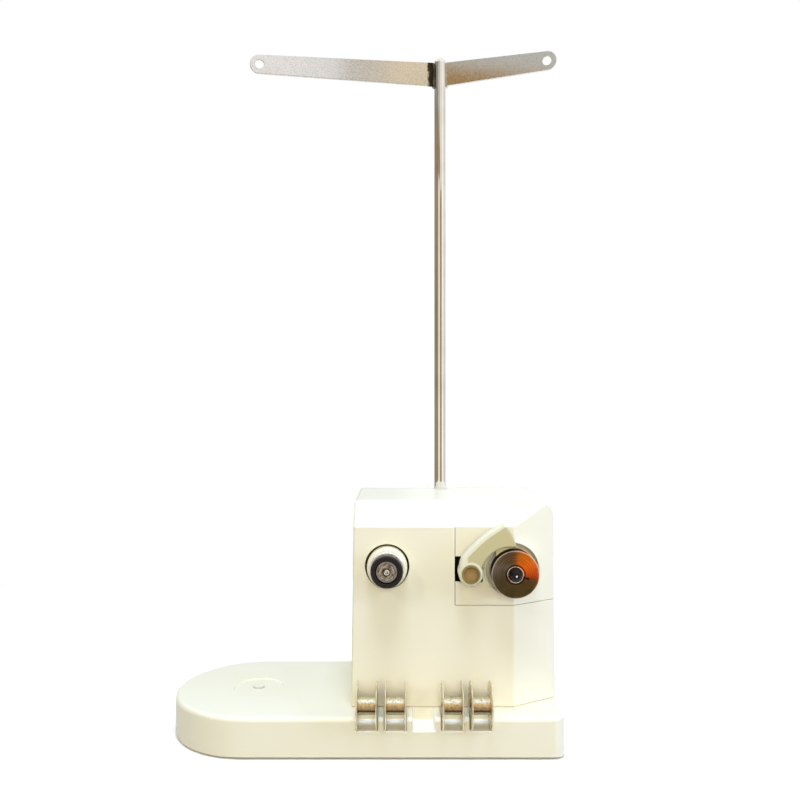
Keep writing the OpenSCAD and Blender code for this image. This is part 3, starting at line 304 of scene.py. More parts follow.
def strip_with_painted_fold_shade(name, light, dark, roughness, patch, fold):
    """Plated strip, finely speckled, with painted shade: dark between two places along X where it is folded.
    """
    finish, tree, place = new_finish(name)
    patches = add(tree, "ShaderNodeTexNoise", {"Scale": per_mm(patch), "Detail": 4.0, "Roughness": 0.65},
                  {"Vector": place})
    tone = add(tree, "ShaderNodeValToRGB", {"stops": ((0.36, dark), (0.6, light))}, {"Fac": patches})
    split = add(tree, "ShaderNodeSeparateXYZ", {}, {"Vector": place})
    cloud = add(tree, "ShaderNodeTexNoise", {"Scale": per_mm(2.2), "Detail": 3.0}, {"Vector": place})
    wander = add(tree, "ShaderNodeMath", {"operation": "MULTIPLY_ADD", 1: 2.4 * MM},
                 {0: cloud, 2: split.outputs["X"]})
    across = add(tree, "ShaderNodeMapRange", {"From Min": fold[0] * MM, "From Max": (fold[1] + 3.0) * MM},
                 {"Value": wander})
    # Painted shade at the fold: dark between the two places, pale again beyond them.
    stops = ((0.18, "#FFFFFF"), (0.34, "#4A463C"), (0.62, "#2A2722"), (0.95, "#C8C4B8"), (1.0, "#FFFFFF"))
    fold_shade = add(tree, "ShaderNodeValToRGB", {"stops": stops}, {"Fac": across})
    toned = add(tree, "ShaderNodeVectorMath", {"operation": "MULTIPLY"}, {0: tone, 1: fold_shade})
    bump = add(tree, "ShaderNodeBump", {"Strength": 0.1, "Distance": 0.03 * MM}, {"Height": patches})
    return close_finish(finish, {"Metallic": 1.0}, toned, bump, patches, roughness * 0.8, roughness * 1.3)


def banded_hub(name, middle, bands, roughness):
    """Hub painted with light by height over its axis in mm: a painted highlight on top, a brown band that is
    rust-brown and partly painted reflection, a dark painted shade below, broken up by rust-brown specks.
    """
    finish, tree, place = new_finish(name)
    split = add(tree, "ShaderNodeSeparateXYZ", {}, {"Vector": place})
    specks = add(tree, "ShaderNodeTexNoise", {"Scale": per_mm(0.9), "Detail": 4.0, "Roughness": 0.7},
                 {"Vector": place})
    low, high = bands[0][0], bands[-1][0]
    span = {"From Min": (middle + low) * MM, "From Max": (middle + high) * MM}
    height = add(tree, "ShaderNodeMapRange", span, {"Value": split.outputs["Z"]})
    stops = [((h - low) / (high - low), code) for h, code in bands]
    tone = add(tree, "ShaderNodeValToRGB", {"stops": stops}, {"Fac": height})
    shade = add(tree, "ShaderNodeMapRange",
                {"From Min": 0.38, "From Max": 0.6, "To Min": 0.55, "To Max": 1.0}, {"Value": specks})
    toned = add(tree, "ShaderNodeVectorMath", {"operation": "SCALE"}, {0: tone, "Scale": shade})
    bump = add(tree, "ShaderNodeBump", {"Strength": 0.2, "Distance": 0.03 * MM}, {"Height": specks})
    return close_finish(finish, {"Metallic": 0.35}, toned, bump, specks, roughness * 0.8, roughness * 1.3)


# Moulded ABS, ivory: pale and warm, with a soft gloss that lets the room show on the rounded edges.
ivory_abs = moulded_plastic("ivory_moulded_abs", "#EEE6CA", "#EAE2C5", 0.36)
# The same plastic, grey and dull on the wall of the nub in the cone dish: painted shade, a dark dash.
nub_abs_painted_shade = moulded_plastic("nub_ivory_abs_painted_shade", "#CFCBB8", "#C2BEAA", 0.6)
# The same plastic in the bobbin slots, painted lighter and whiter: painted light where the bobbins shade it.
slot_abs_painted_light = moulded_plastic("slot_ivory_abs_painted_light", "#FBF7EA", "#F6F1E0", 0.36)
# Moulded ABS of the cap: the same family, cleaner and glossier.
cap_abs = moulded_plastic("cream_cap_abs", "#EDE5C6", "#E8E0BF", 0.28)
# Moulded ABS of the lever: khaki cream where it is handled, lighter round the boss, and painted lighter along
# the upper edge and at the tip, a painted highlight.
lever_abs = yellowed_plastic("yellowed_lever_abs", "#E2DCBF", "#C0B686", CLEAN_BOSS, HIGHLIGHT_RIMS)
# Phenolic moulding of the tension knob: nearly black, fine grain, dull gloss.
black_phenolic = moulded_plastic("black_phenolic", "#1A1614", "#120F0E", 0.34)
# Nylon of pulleys, crank, switch and inlet: black, fine grain, a little duller.
black_nylon = moulded_plastic("black_nylon", "#1E1E1F", "#161617", 0.45)
# Vulcanised rubber sheet: black, matt and slightly dusty.
rubber_sheet = moulded_plastic("black_rubber_sheet", "#2A2826", "#1D1B1A", 0.75, 0.3)
# Acetal switch button, red and waxy.
red_acetal = moulded_plastic("red_acetal", "#A8241A", "#961C14", 0.3)
# Glass-epoxy circuit board, smooth under green solder mask, and the dull black moulded cases of its parts.
green_laminate = moulded_plastic("green_board_laminate", "#1E6A3E", "#185A34", 0.35)
epoxy_case = moulded_plastic("black_epoxy_case", "#232325", "#1A1A1C", 0.5)
# Chromium-plated drawn rod: mirror-like, with faint draw lines up its length.
chrome_rod = drawn_metal("chromed_drawn_rod", "#F6F4F0", "#E8E4DC", 0.06, 2)
# Chromium-plated stud of the tension unit: bright, slightly clouded.
chrome_press = blotched_metal("chromed_pressing", "#E6E2DA", "#CFC9BE", 0.1, 6)
# Tension discs: the same plate, pale and only a quarter metallic, painted light so that they stay light in
# the knob's shade.
disc_painted_lighter = blotched_metal("chrome_disc_painted_lighter", "#F4F1EA", "#E6E1D8", 0.25, 5, 0.25)
# The nut: polished, so that its lobes carry small bright and dark reflections.
polished_nut = blotched_metal("polished_nickel_nut", "#CFC9BF", "#A39C90", 0.07, 2)
# Nickel-plated strip steel of the guide arms: satin, mottled where the plate is thin, with painted shade at
# its fold.
nickel_strip = strip_with_painted_fold_shade("nickel_strip_steel", "#EEEBE7", "#D8D4CD", 0.1, 0.7, STRIP_FOLD)
# Bobbin steel, nickel plated: grey-brown flange, lathe rings, slight cone; painted highlights on rim and
# bead, a painted shade ring round the bead.
bobbin_nickel_painted_light = turned_metal("turned_bobbin_nickel_painted_light", (
    (0.0, "#E9E4D8"), (3.5, "#E9E4D8"), (3.62, "#3A342E"), (4.1, "#4A433B"), (4.5, "#93887B"),
    (9.7, "#988D80"), (9.95, "#DDD5C3"), (10.3, "#EAE4D6")), 0.15, SPINDLE, cone=0.12)
# Inside of that bobbin and the walls of its thread slit: the same steel, painted dark as painted shade.
bobbin_inside_painted_shade = blotched_metal("bobbin_inside_painted_shade_steel", "#4A4036", "#2C251E", 0.45, 3, 0.6)
# Spare bobbins: the plate painted lighter as painted light; flanges golden inside their rims, a painted
# reflection; hubs painted by height.
flange_painted_golden_reflection = blotched_metal("flange_nickel_painted_golden_reflection", "#EDE3C0", "#DACDA2", 0.3, 5, 0.4)
spare_nickel_painted_lighter = blotched_metal("spare_bobbin_nickel_painted_lighter", "#F2E8C8", "#DDCEA0", 0.2, 5, 0.7)
hub_painted_light = banded_hub("hub_nickel_painted_light", SPARE_AT[1], (
    (-3.6, "#D8CC9C"), (-1.8, "#C8BA88"), (-1.5, "#33281A"), (-0.8, "#3E301E"), (-0.4, "#A98450"),
    (1.9, "#DFC592"), (2.5, "#FFF4DA"), (3.2, "#FFF6E0"), (3.45, "#DCCC98"), (3.6, "#CDBD88")), 0.3)
# Turned brass screw, tarnished to copper inside a darker rim.
brass_turned = turned_metal("turned_brass", (
    (0.0, "#B99A62"), (2.7, "#B2925A"), (2.95, "#5E4A24"), (3.3, "#B3A060"), (4.0, "#978748")), 0.3, LEVER,
    groove=0.4, metallic=0.45)
# Oiled bearing bronze, warm and dull, and the tinned brass of terminals, pale and cloudy.
bronze = blotched_metal("bearing_bronze", "#B58A52", "#8F6A3C", 0.35, 2)
tinned_brass = blotched_metal("tinned_brass", "#C9C2AE", "#A49A80", 0.32, 1.5)
# Rivet steel under black oxide: a smooth black skin with a strong polish that whitens towards its edge.
black_oxide = moulded_plastic("black_oxide_steel", "#171412", "#0C0A09", 0.06, 0.0)
# The same oxide on the spindle, with a painted highlight: a white spot at the middle of its nose.
oxide_painted_highlight = turned_metal("oxide_spindle_painted_highlight", (
    (0.0, "#F4F1EA"), (0.3, "#EDE9E0"), (0.5, "#1B1715"), (3.0, "#0C0A09")), 0.06, SPINDLE,
    metallic=0.0, specular=0.25)
# Zinc-plated steel of screws, clips and shafts, silvery; plain sheet steel of frame and bottom plate, greyer.
zinc_steel = blotched_metal("zinc_plated_steel", "#BFC0BD", "#989A98", 0.3, 3)
sheet_steel = blotched_metal("grey_sheet_steel", "#8C8D8E", "#717274", 0.42, 9)

# Finishes of the nodes that keep their own mesh, by slot.
FINISHES = {
    "grey_sheet_steel": sheet_steel, "zinc_steel": zinc_steel, "brass": bronze, "tinned_brass": tinned_brass,
    "rubber": rubber_sheet, "black_plastic": black_nylon, "red_plastic": red_acetal,
    "circuit_board": green_laminate, "board_components": epoxy_case,
}
node_slot = {row["node"]: row["material_slot"] for row in frame["record"]["subparts"]}
node_body = {n: body for body, names in frame["record"]["behaviour"]["bodies"].items() for n in names}


def solid_of(name, shape):
    """An object at the origin made from a bmesh whose points are already in place."""
    mesh = bpy.data.meshes.new(name)
    shape.to_mesh(mesh)
    shape.free()
    if "custom_normal" in mesh.attributes:
        mesh.attributes.remove(mesh.attributes["custom_normal"])
    piece = bpy.data.objects.new(name, mesh)
    scene.collection.objects.link(piece)
    return piece


def settle(piece):
    """Turns a piece's modifiers into its own plain mesh."""
    graph = bpy.context.evaluated_depsgraph_get()
    mesh = bpy.data.meshes.new_from_object(piece.evaluated_get(graph))
    piece.modifiers.clear()
    piece.data = mesh


def smooth(piece, turn):
    """Shades curves smooth and keeps edges sharper than the turn, in degrees."""
    shape = bmesh.new()
    shape.from_mesh(piece.data)
    for face in shape.faces:
        face.smooth = True
    for edge in shape.edges:
        edge.smooth = edge.is_manifold and edge.calc_face_angle() < math.radians(turn)
    shape.to_mesh(piece.data)
    shape.free()


def even_out(piece):
    """Smooth shading in which the flat faces stay flat up to their rounded edges."""
    smooth(piece, ROUNDED_CURVE)
    even = piece.modifiers.new("even", "WEIGHTED_NORMAL")
    even.keep_sharp = True
    settle(piece)


def mark_edges(shape, turn, share):
    """Weighs edges sharper than the turn for rounding; share gives the weight of an edge at a point in mm."""
    layer = shape.edges.layers.float.new("bevel_weight_edge")
    for edge in shape.edges:
        if edge.is_manifold and edge.calc_face_angle() > math.radians(turn):
            middle = (edge.verts[0].co + edge.verts[1].co) / (2 * MM)
            edge[layer] = share(middle)


def round_edges(piece, width, steps):
    """Rounds the weighed edges of a piece."""
    bevel = piece.modifiers.new("edge", "BEVEL")
    bevel.width = width * MM
    bevel.segments = steps
    bevel.limit_method = "WEIGHT"
    bevel.use_clamp_overlap = False
    bevel.harden_normals = False
    settle(piece)
    even_out(piece)


def combine(piece, other, operation):
    """Joins another solid to a piece or cuts it out, and takes that solid away."""
    step = piece.modifiers.new("combine", "BOOLEAN")
    step.operation = operation
    step.object = other
    settle(piece)
    bpy.data.objects.remove(other)


def fit(piece, node, *finishes):
    """Gives a finished piece its materials and lets it stand for a node on the node's body."""
    piece.data.materials.clear()
    for finish in finishes:
        piece.data.materials.append(finish)
    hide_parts(node)
    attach(piece, node_body[node])


def everywhere(point):
    """Full rounding on every edge."""
    return 1.0


def dress(node, finish, width=0.0, steps=3, turn=32.0, share=everywhere):
    """A merged copy of a node's mesh with rounded edges, which stands for the node."""
    shape = bmesh.new()
    shape.from_mesh(frame["nodes"][node].data)
    bmesh.ops.remove_doubles(shape, verts=shape.verts, dist=MERGE * MM)
    bmesh.ops.dissolve_limit(shape, angle_limit=math.radians(FLAT_TURN), use_dissolve_boundaries=False,
                             verts=shape.verts, edges=shape.edges)
    if width:
        mark_edges(shape, turn, share)
    piece = solid_of(node + "_finished", shape)
    if width:
        round_edges(piece, width, steps)
    else:
        smooth(piece, turn)
    fit(piece, node, finish)
    return piece


def from_axis(p, place):
    """How far a point lies from a line along Y through a place on the front."""
    return math.hypot(p[0] - place[0], p[2] - place[1])


def from_dish(p):
    """How far a point lies from the upright line through the middle of the dish."""
    return math.hypot(p[0] - DISH[0], p[1] - DISH[1])


def outside(p):
    """How far a point in mm lies outside the housing's outer faces; about zero on one of them."""
    lean = SIDE_LEAN * (p[2] - DECK) / (HOUSE_TOP - DECK)
    facet = FACET_RUN[1] * (p[0] - FACET_START) - FACET_RUN[0] * (p[1] - HOUSE_FRONT)
    return max(HOUSE_FRONT - p[1], p[1] - HALF_DEPTH, p[0] - RIGHT_END + lean, HOUSE_LEFT + lean - p[0],
               p[2] - HOUSE_TOP, (p[2] - CREASE - p[1] + HOUSE_FRONT) / math.sqrt(2.0),
               facet / math.hypot(*FACET_RUN))


def along_seam(p, reach):
    """Whether a point lies within reach of the upright or the level part of the seam."""
    return abs(p[0] - SEAM[0]) < reach or abs(p[2] - SEAM[1]) < reach


def cover_share(p):
    """Rounding of the housing's edges: none inside or along the rear foot, little on the panel's seam."""
    if outside(p) < -NEAR_FACE or (p[2] < DECK + NEAR_FOOT and p[1] > 0.0):
        return 0.0
    if p[0] > SEAM[0] - NEAR_EDGE and p[1] < PANEL_BACK:
        if abs(p[2] - CREASE) < NEAR_EDGE:
            return 0.0
        if along_seam(p, NEAR_EDGE) and p[2] < CREASE:
            return SEAM_SHARE
    return 0.5 if from_axis(p, TENSION) < TENSION_REACH else 1.0


def panel_share(p):
    """Rounding of the panel's edges: most on collar and window, little on the seam, none at the top."""
    if from_axis(p, SPINDLE) < COLLAR_REACH and p[1] < HOUSE_FRONT - NEAR_RIM:
        return 0.6
    if outside(p) < -NEAR_FACE or abs(p[2] - CREASE) < NEAR_EDGE:
        return 0.0
    return SEAM_SHARE if along_seam(p, NEAR_RIM) else 0.5


def base_share(p):
    """Rounding of the base's edges: slots, dish and nub, and the lower rim; none inside the shell."""
    if p[2] > DISH_FLOOR - 0.3 and from_dish(p) < DISH_RADIUS + 1.5:
        return 0.5
    if p[2] > SLOT_LOWEST and p[1] < HOUSE_FRONT + NEAR_EDGE:
        return 1.0
    at_rim = abs(p[1]) > HALF_DEPTH - NEAR_RIM or p[0] > RIGHT_END - NEAR_RIM
    return 0.5 if p[2] < SOLE_HEIGHT + NEAR_EDGE and at_rim else 0.0


# Base, housing and panel: the mouldings keep their solids' shapes and get rounded edges.
base = dress("base_shell", ivory_abs, 0.6, share=base_share)
base.data.materials.append(nub_abs_painted_shade)
base.data.materials.append(slot_abs_painted_light)
for face in base.data.polygons:
    middle = face.center / MM
    in_row = SLOT_ROW[0] < middle[0] < SLOT_ROW[1] and NEAR_EDGE - HALF_DEPTH < middle[1] < HOUSE_FRONT
    # Faces in the row of slots get the lighter plastic, painted light in the bobbins' shade.
    if in_row and SLOT_LOWEST < middle[2] < DECK - NEAR_EDGE:
        face.material_index = 2
    # The wall of the nub gets the grey plastic, painted shade.
    if from_dish(middle) < NUB_RADIUS + 0.15 and middle[2] > DISH_FLOOR - NEAR_EDGE and face.normal[2] < 0.9:
        face.material_index = 1
dress("housing_cover", ivory_abs, 0.8, turn=25.0, share=cover_share)
dress("winder_panel", ivory_abs, 0.8, turn=25.0, share=panel_share)
dress("tension_cap", cap_abs)
dress("rubber_sole", rubber_sheet, 0.2)
dress("bottom_plate", sheet_steel, 0.2)
dress("power_inlet", black_nylon, 0.3)


def meet(first, second, side):
    """Where two circles cross, left (1) or right (-1) of the line from the first centre to the second."""
    gap = math.hypot(second[0] - first[0], second[1] - first[1])
    along = (first[2] ** 2 - second[2] ** 2 + gap ** 2) / (2 * gap)
    off = side * math.sqrt(first[2] ** 2 - along ** 2)
    x, z = (second[0] - first[0]) / gap, (second[1] - first[1]) / gap
    return first[0] + along * x - off * z, first[1] + along * z + off * x


def above(circle, x):
    """The point of a circle over a place along X."""
    return x, circle[1] + math.sqrt(circle[2] ** 2 - (x - circle[0]) ** 2)


def arc(circle, start, end, turn, steps):
    """Points along a circle from start to end, turning left (1) or right (-1); the end itself is left out."""
    first, last = (math.atan2(p[1] - circle[1], p[0] - circle[0]) for p in (start, end))
    sweep = turn * ((turn * (last - first)) % (2 * math.pi))
    angles = [first + sweep * i / steps for i in range(steps)]
    return [(circle[0] + circle[2] * math.cos(a), circle[1] + circle[2] * math.sin(a)) for a in angles]


def inset(outline, width):
    """An outline that turns left, moved inwards by a width."""
    points = [Vector(p) for p in outline]
    moved = []
    for i, here in enumerate(points):
        runs = (here - points[i - 1], points[(i + 1) % len(points)] - here)
        sides = [Vector((-run[1], run[0])).normalized() for run in runs]
        lean = (sides[0] + sides[1]).normalized()
        moved.append(here + lean * (width / lean.dot(sides[0])))
    return moved


def slab(name, outline, front, back, width=0.0):
    """A slab of an outline about the lever's shaft, its front edge rounded to a width in five steps."""
    turns = [math.pi / 2 * i / 5 for i in range(6)] if width else [math.pi / 2]
    layers = [(width * (1 - math.sin(t)), front + width * (1 - math.cos(t))) for t in turns] + [(0.0, back)]
    shape = bmesh.new()
    rings = []
    for w, y in layers:
        points = [(LEVER[0] + p[0], y, LEVER[1] + p[1]) for p in inset(outline, w)]
        rings.append([shape.verts.new([MM * c for c in point]) for point in points])
    shape.faces.new(rings[0])
    shape.faces.new(rings[-1])
    for near, far in zip(rings, rings[1:]):
        for i in range(len(outline)):
            shape.faces.new((near[i - 1], near[i], far[i], far[i - 1]))
    bmesh.ops.recalc_face_normals(shape, faces=shape.faces)
    return solid_of(name, shape)


def rod(name, radius, front, back):
    """A round rod on the lever's shaft line."""
    angles = [math.radians(a) for a in range(0, 360, 5)]
    return slab(name, [(radius * math.cos(a), radius * math.sin(a)) for a in angles], front, back)


# Lever: five arcs with a broad rounded front edge, a finger between the flanges, a boss behind and a bore.
low_left, low_right = meet(LEVER_BOSS, LEVER_LEFT, 1), meet(LEVER_BOSS, LEVER_HOLLOW, 1)
shoulder, heel = meet(LEVER_LEFT, LEVER_TOP, -1), meet(LEVER_TIP, LEVER_HOLLOW, 1)
tip = meet(LEVER_TOP, LEVER_TIP, -1)
lever_outline = (arc(LEVER_BOSS, low_left, low_right, 1, 40) + arc(LEVER_HOLLOW, low_right, heel, -1, 32)
                 + arc(LEVER_TIP, heel, tip, 1, 16) + arc(LEVER_TOP, tip, shoulder, 1, 24)
                 + arc(LEVER_LEFT, shoulder, low_left, 1, 12))
lever = slab("stop_lever_finished", lever_outline, LEVER_FRONT, LEVER_FRONT + LEVER_DEPTH, LEVER_ROUNDING)
left, right = FINGER_ENDS
below = above(FINGER_BELOW, left), above(FINGER_BELOW, right)
over = above(FINGER_TOP, right), above(FINGER_TOP, left)
finger_outline = (arc(FINGER_BELOW, *below, -1, 16) + [below[1]]
                  + arc(FINGER_TOP, *over, 1, 16) + [over[1]])
finger = slab("finger", finger_outline, *(LEVER_FRONT + depth for depth in FINGER_DEPTHS))
combine(lever, finger, "UNION")
# The boss is a hair thinner than the outline round it, so that no two faces lie in one surface.
combine(lever, rod("boss", LEVER_BOSS[2] - 0.05, LEVER_FRONT + LEVER_DEPTH / 2, LEVER_BACK), "UNION")
combine(lever, rod("bore", LEVER_BORE, LEVER_FRONT - 1.0, LEVER_BACK + 1.0), "DIFFERENCE")
even_out(lever)
fit(lever, "stop_lever", lever_abs)

# Mast and arms, tension unit, lever screw and spindle.
dress("mast", chrome_rod)
dress("guide_arm", nickel_strip, 0.2)
dress("arm_rivet", black_oxide, 0.3)
dress("tension_stud", chrome_press, 1.0, 6)
dress("rear_tension_disc", disc_painted_lighter, 0.3, 4)
dress("front_tension_disc", disc_painted_lighter, 0.3, 4)
dress("tension_knob", black_phenolic, 0.22)
# The spring in the knob gets a mesh of its own.
spring = dress("tension_spring", zinc_steel)
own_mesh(spring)
dress("lever_screw", brass_turned, 0.3)
dress("spindle_shaft", oxide_painted_highlight)
dress("bobbin_seat", zinc_steel, 0.2)


def revolve(shape, profile, place):
    """Turns a closed profile of radius and depth round an axis; place maps radius, angle, depth to points."""
    steps = 96
    rings = []
    for i in range(steps):
        angle = 2 * math.pi * i / steps
        rings.append([shape.verts.new(place(r, angle, d)) for r, d in profile])
    for i in range(steps):
        here, there = rings[i], rings[(i + 1) % steps]
        for k in range(len(profile)):
            n = (k + 1) % len(profile)
            shape.faces.new((here[k], here[n], there[n], there[k]))
    bmesh.ops.recalc_face_normals(shape, faces=shape.faces)


def facing(centre, front):
    """Places round an axis that runs back from a place on the front, with depths from a front face."""
    return lambda r, a, d: Vector((centre[0] + r * math.cos(a), front + d, centre[1] + r * math.sin(a))) * MM


def lying(left, centre):
    """Places round an axis that runs to the right, with depths from a left face; centre is Y and Z."""
    return lambda r, a, d: Vector((left + d, centre[0] + r * math.cos(a), centre[1] + r * math.sin(a))) * MM


def bobbin_profile():
    """Closed section of a bobbin: crimped bead round the bore, flat flange, rolled rim, and hub."""
    bore, hub, rim, back = BORE_RADIUS, HUB_RADIUS, BOBBIN_RADIUS, FLANGE
    bead = [(bore, 0.3), (bore + 0.04, 0.12), (bore + 0.2, 0.02), (bore + 0.4, 0.04), (bore + 0.56, 0.14)]
    flat = [(bore + 1.2, 0.08), (bore + 1.32, 0.07), (rim - 0.6, 0.04), (rim - 0.5, 0.04)]
    roll = [(rim - 0.36, 0.02), (rim - 0.18, 0.0), (rim - 0.04, 0.08), (rim, 0.2), (rim, back - 0.14),
            (rim - 0.12, back)]
    inner = [(rim - 0.3, back), (hub + 0.6, back), (hub + 0.3, back), (hub, back + 0.3), (hub, back + 0.5)]
    front = bead + flat + roll + inner
    return front + [(r, BOBBIN_WIDTH - d) for r, d in reversed(front)]


def make_bobbin(node, place, *finishes):
    """One bobbin in the place of a node, with the thread slit cut through its front flange."""
    shape = bmesh.new()
    revolve(shape, bobbin_profile(), place)
    piece = solid_of(node + "_turned", shape)
    knife = bmesh.new()
    start, end = SLIT_ENDS
    half = SLIT_HALF_WIDTH
    corners = []
    for d in (-1.0, FLANGE + 0.25):
        for along, side in ((start, -half), (end, -half), (end, half), (start, half)):
            angle = math.radians(SLIT_TILT) + math.atan2(side, along)
            corners.append(knife.verts.new(place(math.hypot(along, side), angle, d)))
    for face in ((0, 1, 2, 3), (4, 5, 6, 7), (0, 1, 5, 4), (1, 2, 6, 5), (2, 3, 7, 6), (3, 0, 4, 7)):
        knife.faces.new([corners[i] for i in face])
    bmesh.ops.recalc_face_normals(knife, faces=knife.faces)
    combine(piece, solid_of(node + "_slit", knife), "DIFFERENCE")
    smooth(piece, TURNED_CURVE)
    fit(piece, node, *finishes)
    return piece


# Bobbin on the spindle: painted shade in the slit and between the flanges.
winding = make_bobbin("winding_bobbin", facing(SPINDLE, BOBBIN_FRONT), bobbin_nickel_painted_light, bobbin_inside_painted_shade)
for face in winding.data.polygons:
    middle = face.center / MM
    radius, depth = from_axis(middle, SPINDLE), middle[1] - BOBBIN_FRONT
    in_slit = depth < FLANGE and abs(face.normal[1]) < 0.3 and HUB_RADIUS < radius < HUB_RADIUS + 3.0
    inside = FLANGE - 0.05 < depth < BOBBIN_WIDTH - FLANGE + 0.05
    if in_slit or (inside and HUB_RADIUS - 0.1 < radius < BOBBIN_RADIUS - 0.4):
        face.material_index = 1

# Spare bobbins in their slots: hubs painted with light and shade, flanges with a golden painted reflection,
# rims lighter.
for count, x in enumerate(SPARES, 1):
    spare = make_bobbin(f"spare_bobbin_{count}", lying(x - BOBBIN_WIDTH / 2, SPARE_AT),
                        spare_nickel_painted_lighter, hub_painted_light, flange_painted_golden_reflection)
    for face in spare.data.polygons:
        middle = face.center / MM
        radius = math.hypot(middle[1] - SPARE_AT[0], middle[2] - SPARE_AT[1])
        if radius < HUB_RADIUS + 0.2:
            face.material_index = 1
        elif radius < BOBBIN_RADIUS - 0.7:
            face.material_index = 2


def grown_tree(name, sizes):
    """A Geometry Nodes tree with named inputs for its sizes; gives the tree and its inputs."""
    tree = bpy.data.node_groups.new(name, "GeometryNodeTree")
    tree.interface.new_socket("Geometry", in_out="INPUT", socket_type="NodeSocketGeometry")
    for label, value in sizes.items():
        kind = "NodeSocketInt" if isinstance(value, int) else "NodeSocketFloat"
        tree.interface.new_socket(label, in_out="INPUT", socket_type=kind).default_value = value
    tree.interface.new_socket("Geometry", in_out="OUTPUT", socket_type="NodeSocketGeometry")
    return tree, add(tree, "NodeGroupInput", {}).outputs


def grow(piece, tree, geometry, sizes, finish):
    """Ends a tree in real geometry with its material, runs it on a piece and keeps the plain mesh."""
    real = add(tree, "GeometryNodeRealizeInstances", {}, {"Geometry": geometry})
    done = add(tree, "GeometryNodeSetMaterial", {"Material": finish}, {"Geometry": real})
    add(tree, "NodeGroupOutput", {}, {"Geometry": done})
    made = piece.modifiers.new("grown", "NODES")
    made.node_group = tree
    for item in tree.interface.items_tree:
        if item.in_out == "INPUT" and item.name in sizes:
            made[item.identifier] = sizes[item.name]
    settle(piece)
    smooth(piece, TURNED_CURVE)


def standing(tree, radius, height):
    """A cylinder that stands on the origin."""
    round_bar = add(tree, "GeometryNodeMeshCylinder", {"Vertices": 48}, {"Radius": radius, "Depth": height})
    half = add(tree, "ShaderNodeMath", {"operation": "MULTIPLY", 1: 0.5}, {0: height})
    lift = add(tree, "ShaderNodeCombineXYZ", {}, {"Z": half})
    return add(tree, "GeometryNodeTransform", {}, {"Geometry": round_bar, "Translation": lift})


# Base screws: one cross-recessed screw, repeated on the five posts. The shank starts inside the head.
SHANK_START = 0.7 * MM
screw_sizes = {"Head Radius": 2.8 * MM, "Head Height": 0.88 * MM, "Shank Radius": 1.5 * MM,
               "Shank Length": 10.0 * MM, "Cross Length": 3.4 * MM, "Cross Width": 0.8 * MM,
               "Cross Depth": 1.2 * MM}
shank_share = 1.0 - SHANK_START / screw_sizes["Shank Length"]
tree, size = grown_tree("cross_recessed_screws", screw_sizes)
blade = add(tree, "ShaderNodeCombineXYZ", {},
            {"X": size["Cross Length"], "Y": size["Cross Width"], "Z": size["Cross Depth"]})
bar = add(tree, "GeometryNodeMeshCube", {}, {"Size": blade})
# The second bar is a little deeper, so that no two faces of the cutters lie in one plane.
turned = add(tree, "GeometryNodeTransform",
             {"Rotation": (0.0, 0.0, math.radians(90.0)), "Scale": (1.0, 1.0, 1.06)}, {"Geometry": bar})
head = standing(tree, size["Head Radius"], size["Head Height"])
for cutter in (bar, turned):
    head = add(tree, "GeometryNodeMeshBoolean", {"operation": "DIFFERENCE"},
               {"Mesh 1": head, "Mesh 2": cutter})
shank = standing(tree, size["Shank Radius"], size["Shank Length"])
raised = add(tree, "GeometryNodeTransform",
             {"Translation": (0.0, 0.0, SHANK_START), "Scale": (1.0, 1.0, shank_share)}, {"Geometry": shank})
screw = add(tree, "GeometryNodeJoinGeometry", {}, {"Geometry": [head, raised]})
many = add(tree, "GeometryNodeInstanceOnPoints", {}, {"Points": size["Geometry"], "Instance": screw})
posts = bmesh.new()
for x, y in SCREW_POSTS:
    posts.verts.new((x * MM, y * MM, SOLE_HEIGHT * MM))
screws = solid_of("base_screws_grown", posts)
grow(screws, tree, many, screw_sizes, zinc_steel)
fit(screws, "base_screws", zinc_steel)

# Tension nut: a turned flange and core, with eight rounded lobes set round the core.
LOBE_RADIUS = 0.9
nut_sizes = {"Lobes": 8, "Ring Radius": 2.9 * MM, "Lobe Radius": LOBE_RADIUS * MM, "Stretch": 0.98}
tree, size = grown_tree("lobed_crown", nut_sizes)
ring = add(tree, "GeometryNodeMeshCircle", {}, {"Vertices": size["Lobes"], "Radius": size["Ring Radius"]})
lobe = add(tree, "GeometryNodeMeshUVSphere", {"Segments": 24, "Rings": 16}, {"Radius": size["Lobe Radius"]})
stretch = add(tree, "ShaderNodeCombineXYZ", {"X": 1.0, "Y": 1.0}, {"Z": size["Stretch"]})
lobes = add(tree, "GeometryNodeInstanceOnPoints", {}, {"Points": ring, "Instance": lobe, "Scale": stretch})
crown_at = (TENSION[0] * MM, (NUT_FRONT + LOBE_RADIUS) * MM, TENSION[1] * MM)
upright = add(tree, "GeometryNodeTransform",
              {"Translation": crown_at, "Rotation": (math.radians(90.0), 0.0, 0.0)}, {"Geometry": lobes})
whole = add(tree, "GeometryNodeJoinGeometry", {}, {"Geometry": [size["Geometry"], upright]})
core = bmesh.new()
revolve(core, [(1.45, KNOB_CUP), (4.55, KNOB_CUP), (4.7, KNOB_CUP - 0.15), (4.7, KNOB_CUP - 0.5),
               (4.5, KNOB_CUP - 0.7), (3.2, KNOB_CUP - 0.7), (3.05, NUT_FRONT + 0.35), (2.5, NUT_FRONT + 0.1),
               (1.7, NUT_FRONT + 0.3), (1.45, NUT_FRONT + 0.7)], facing(TENSION, 0.0))
nut = solid_of("tension_nut_grown", core)
grow(nut, tree, whole, nut_sizes, polished_nut)
fit(nut, "tension_nut", polished_nut)

# Every node that is still shown gets its finish.
for name, node in frame["nodes"].items():
    if not node.hide_render:
        node.data.materials.clear()
        node.data.materials.append(FINISHES[node_slot[name]])


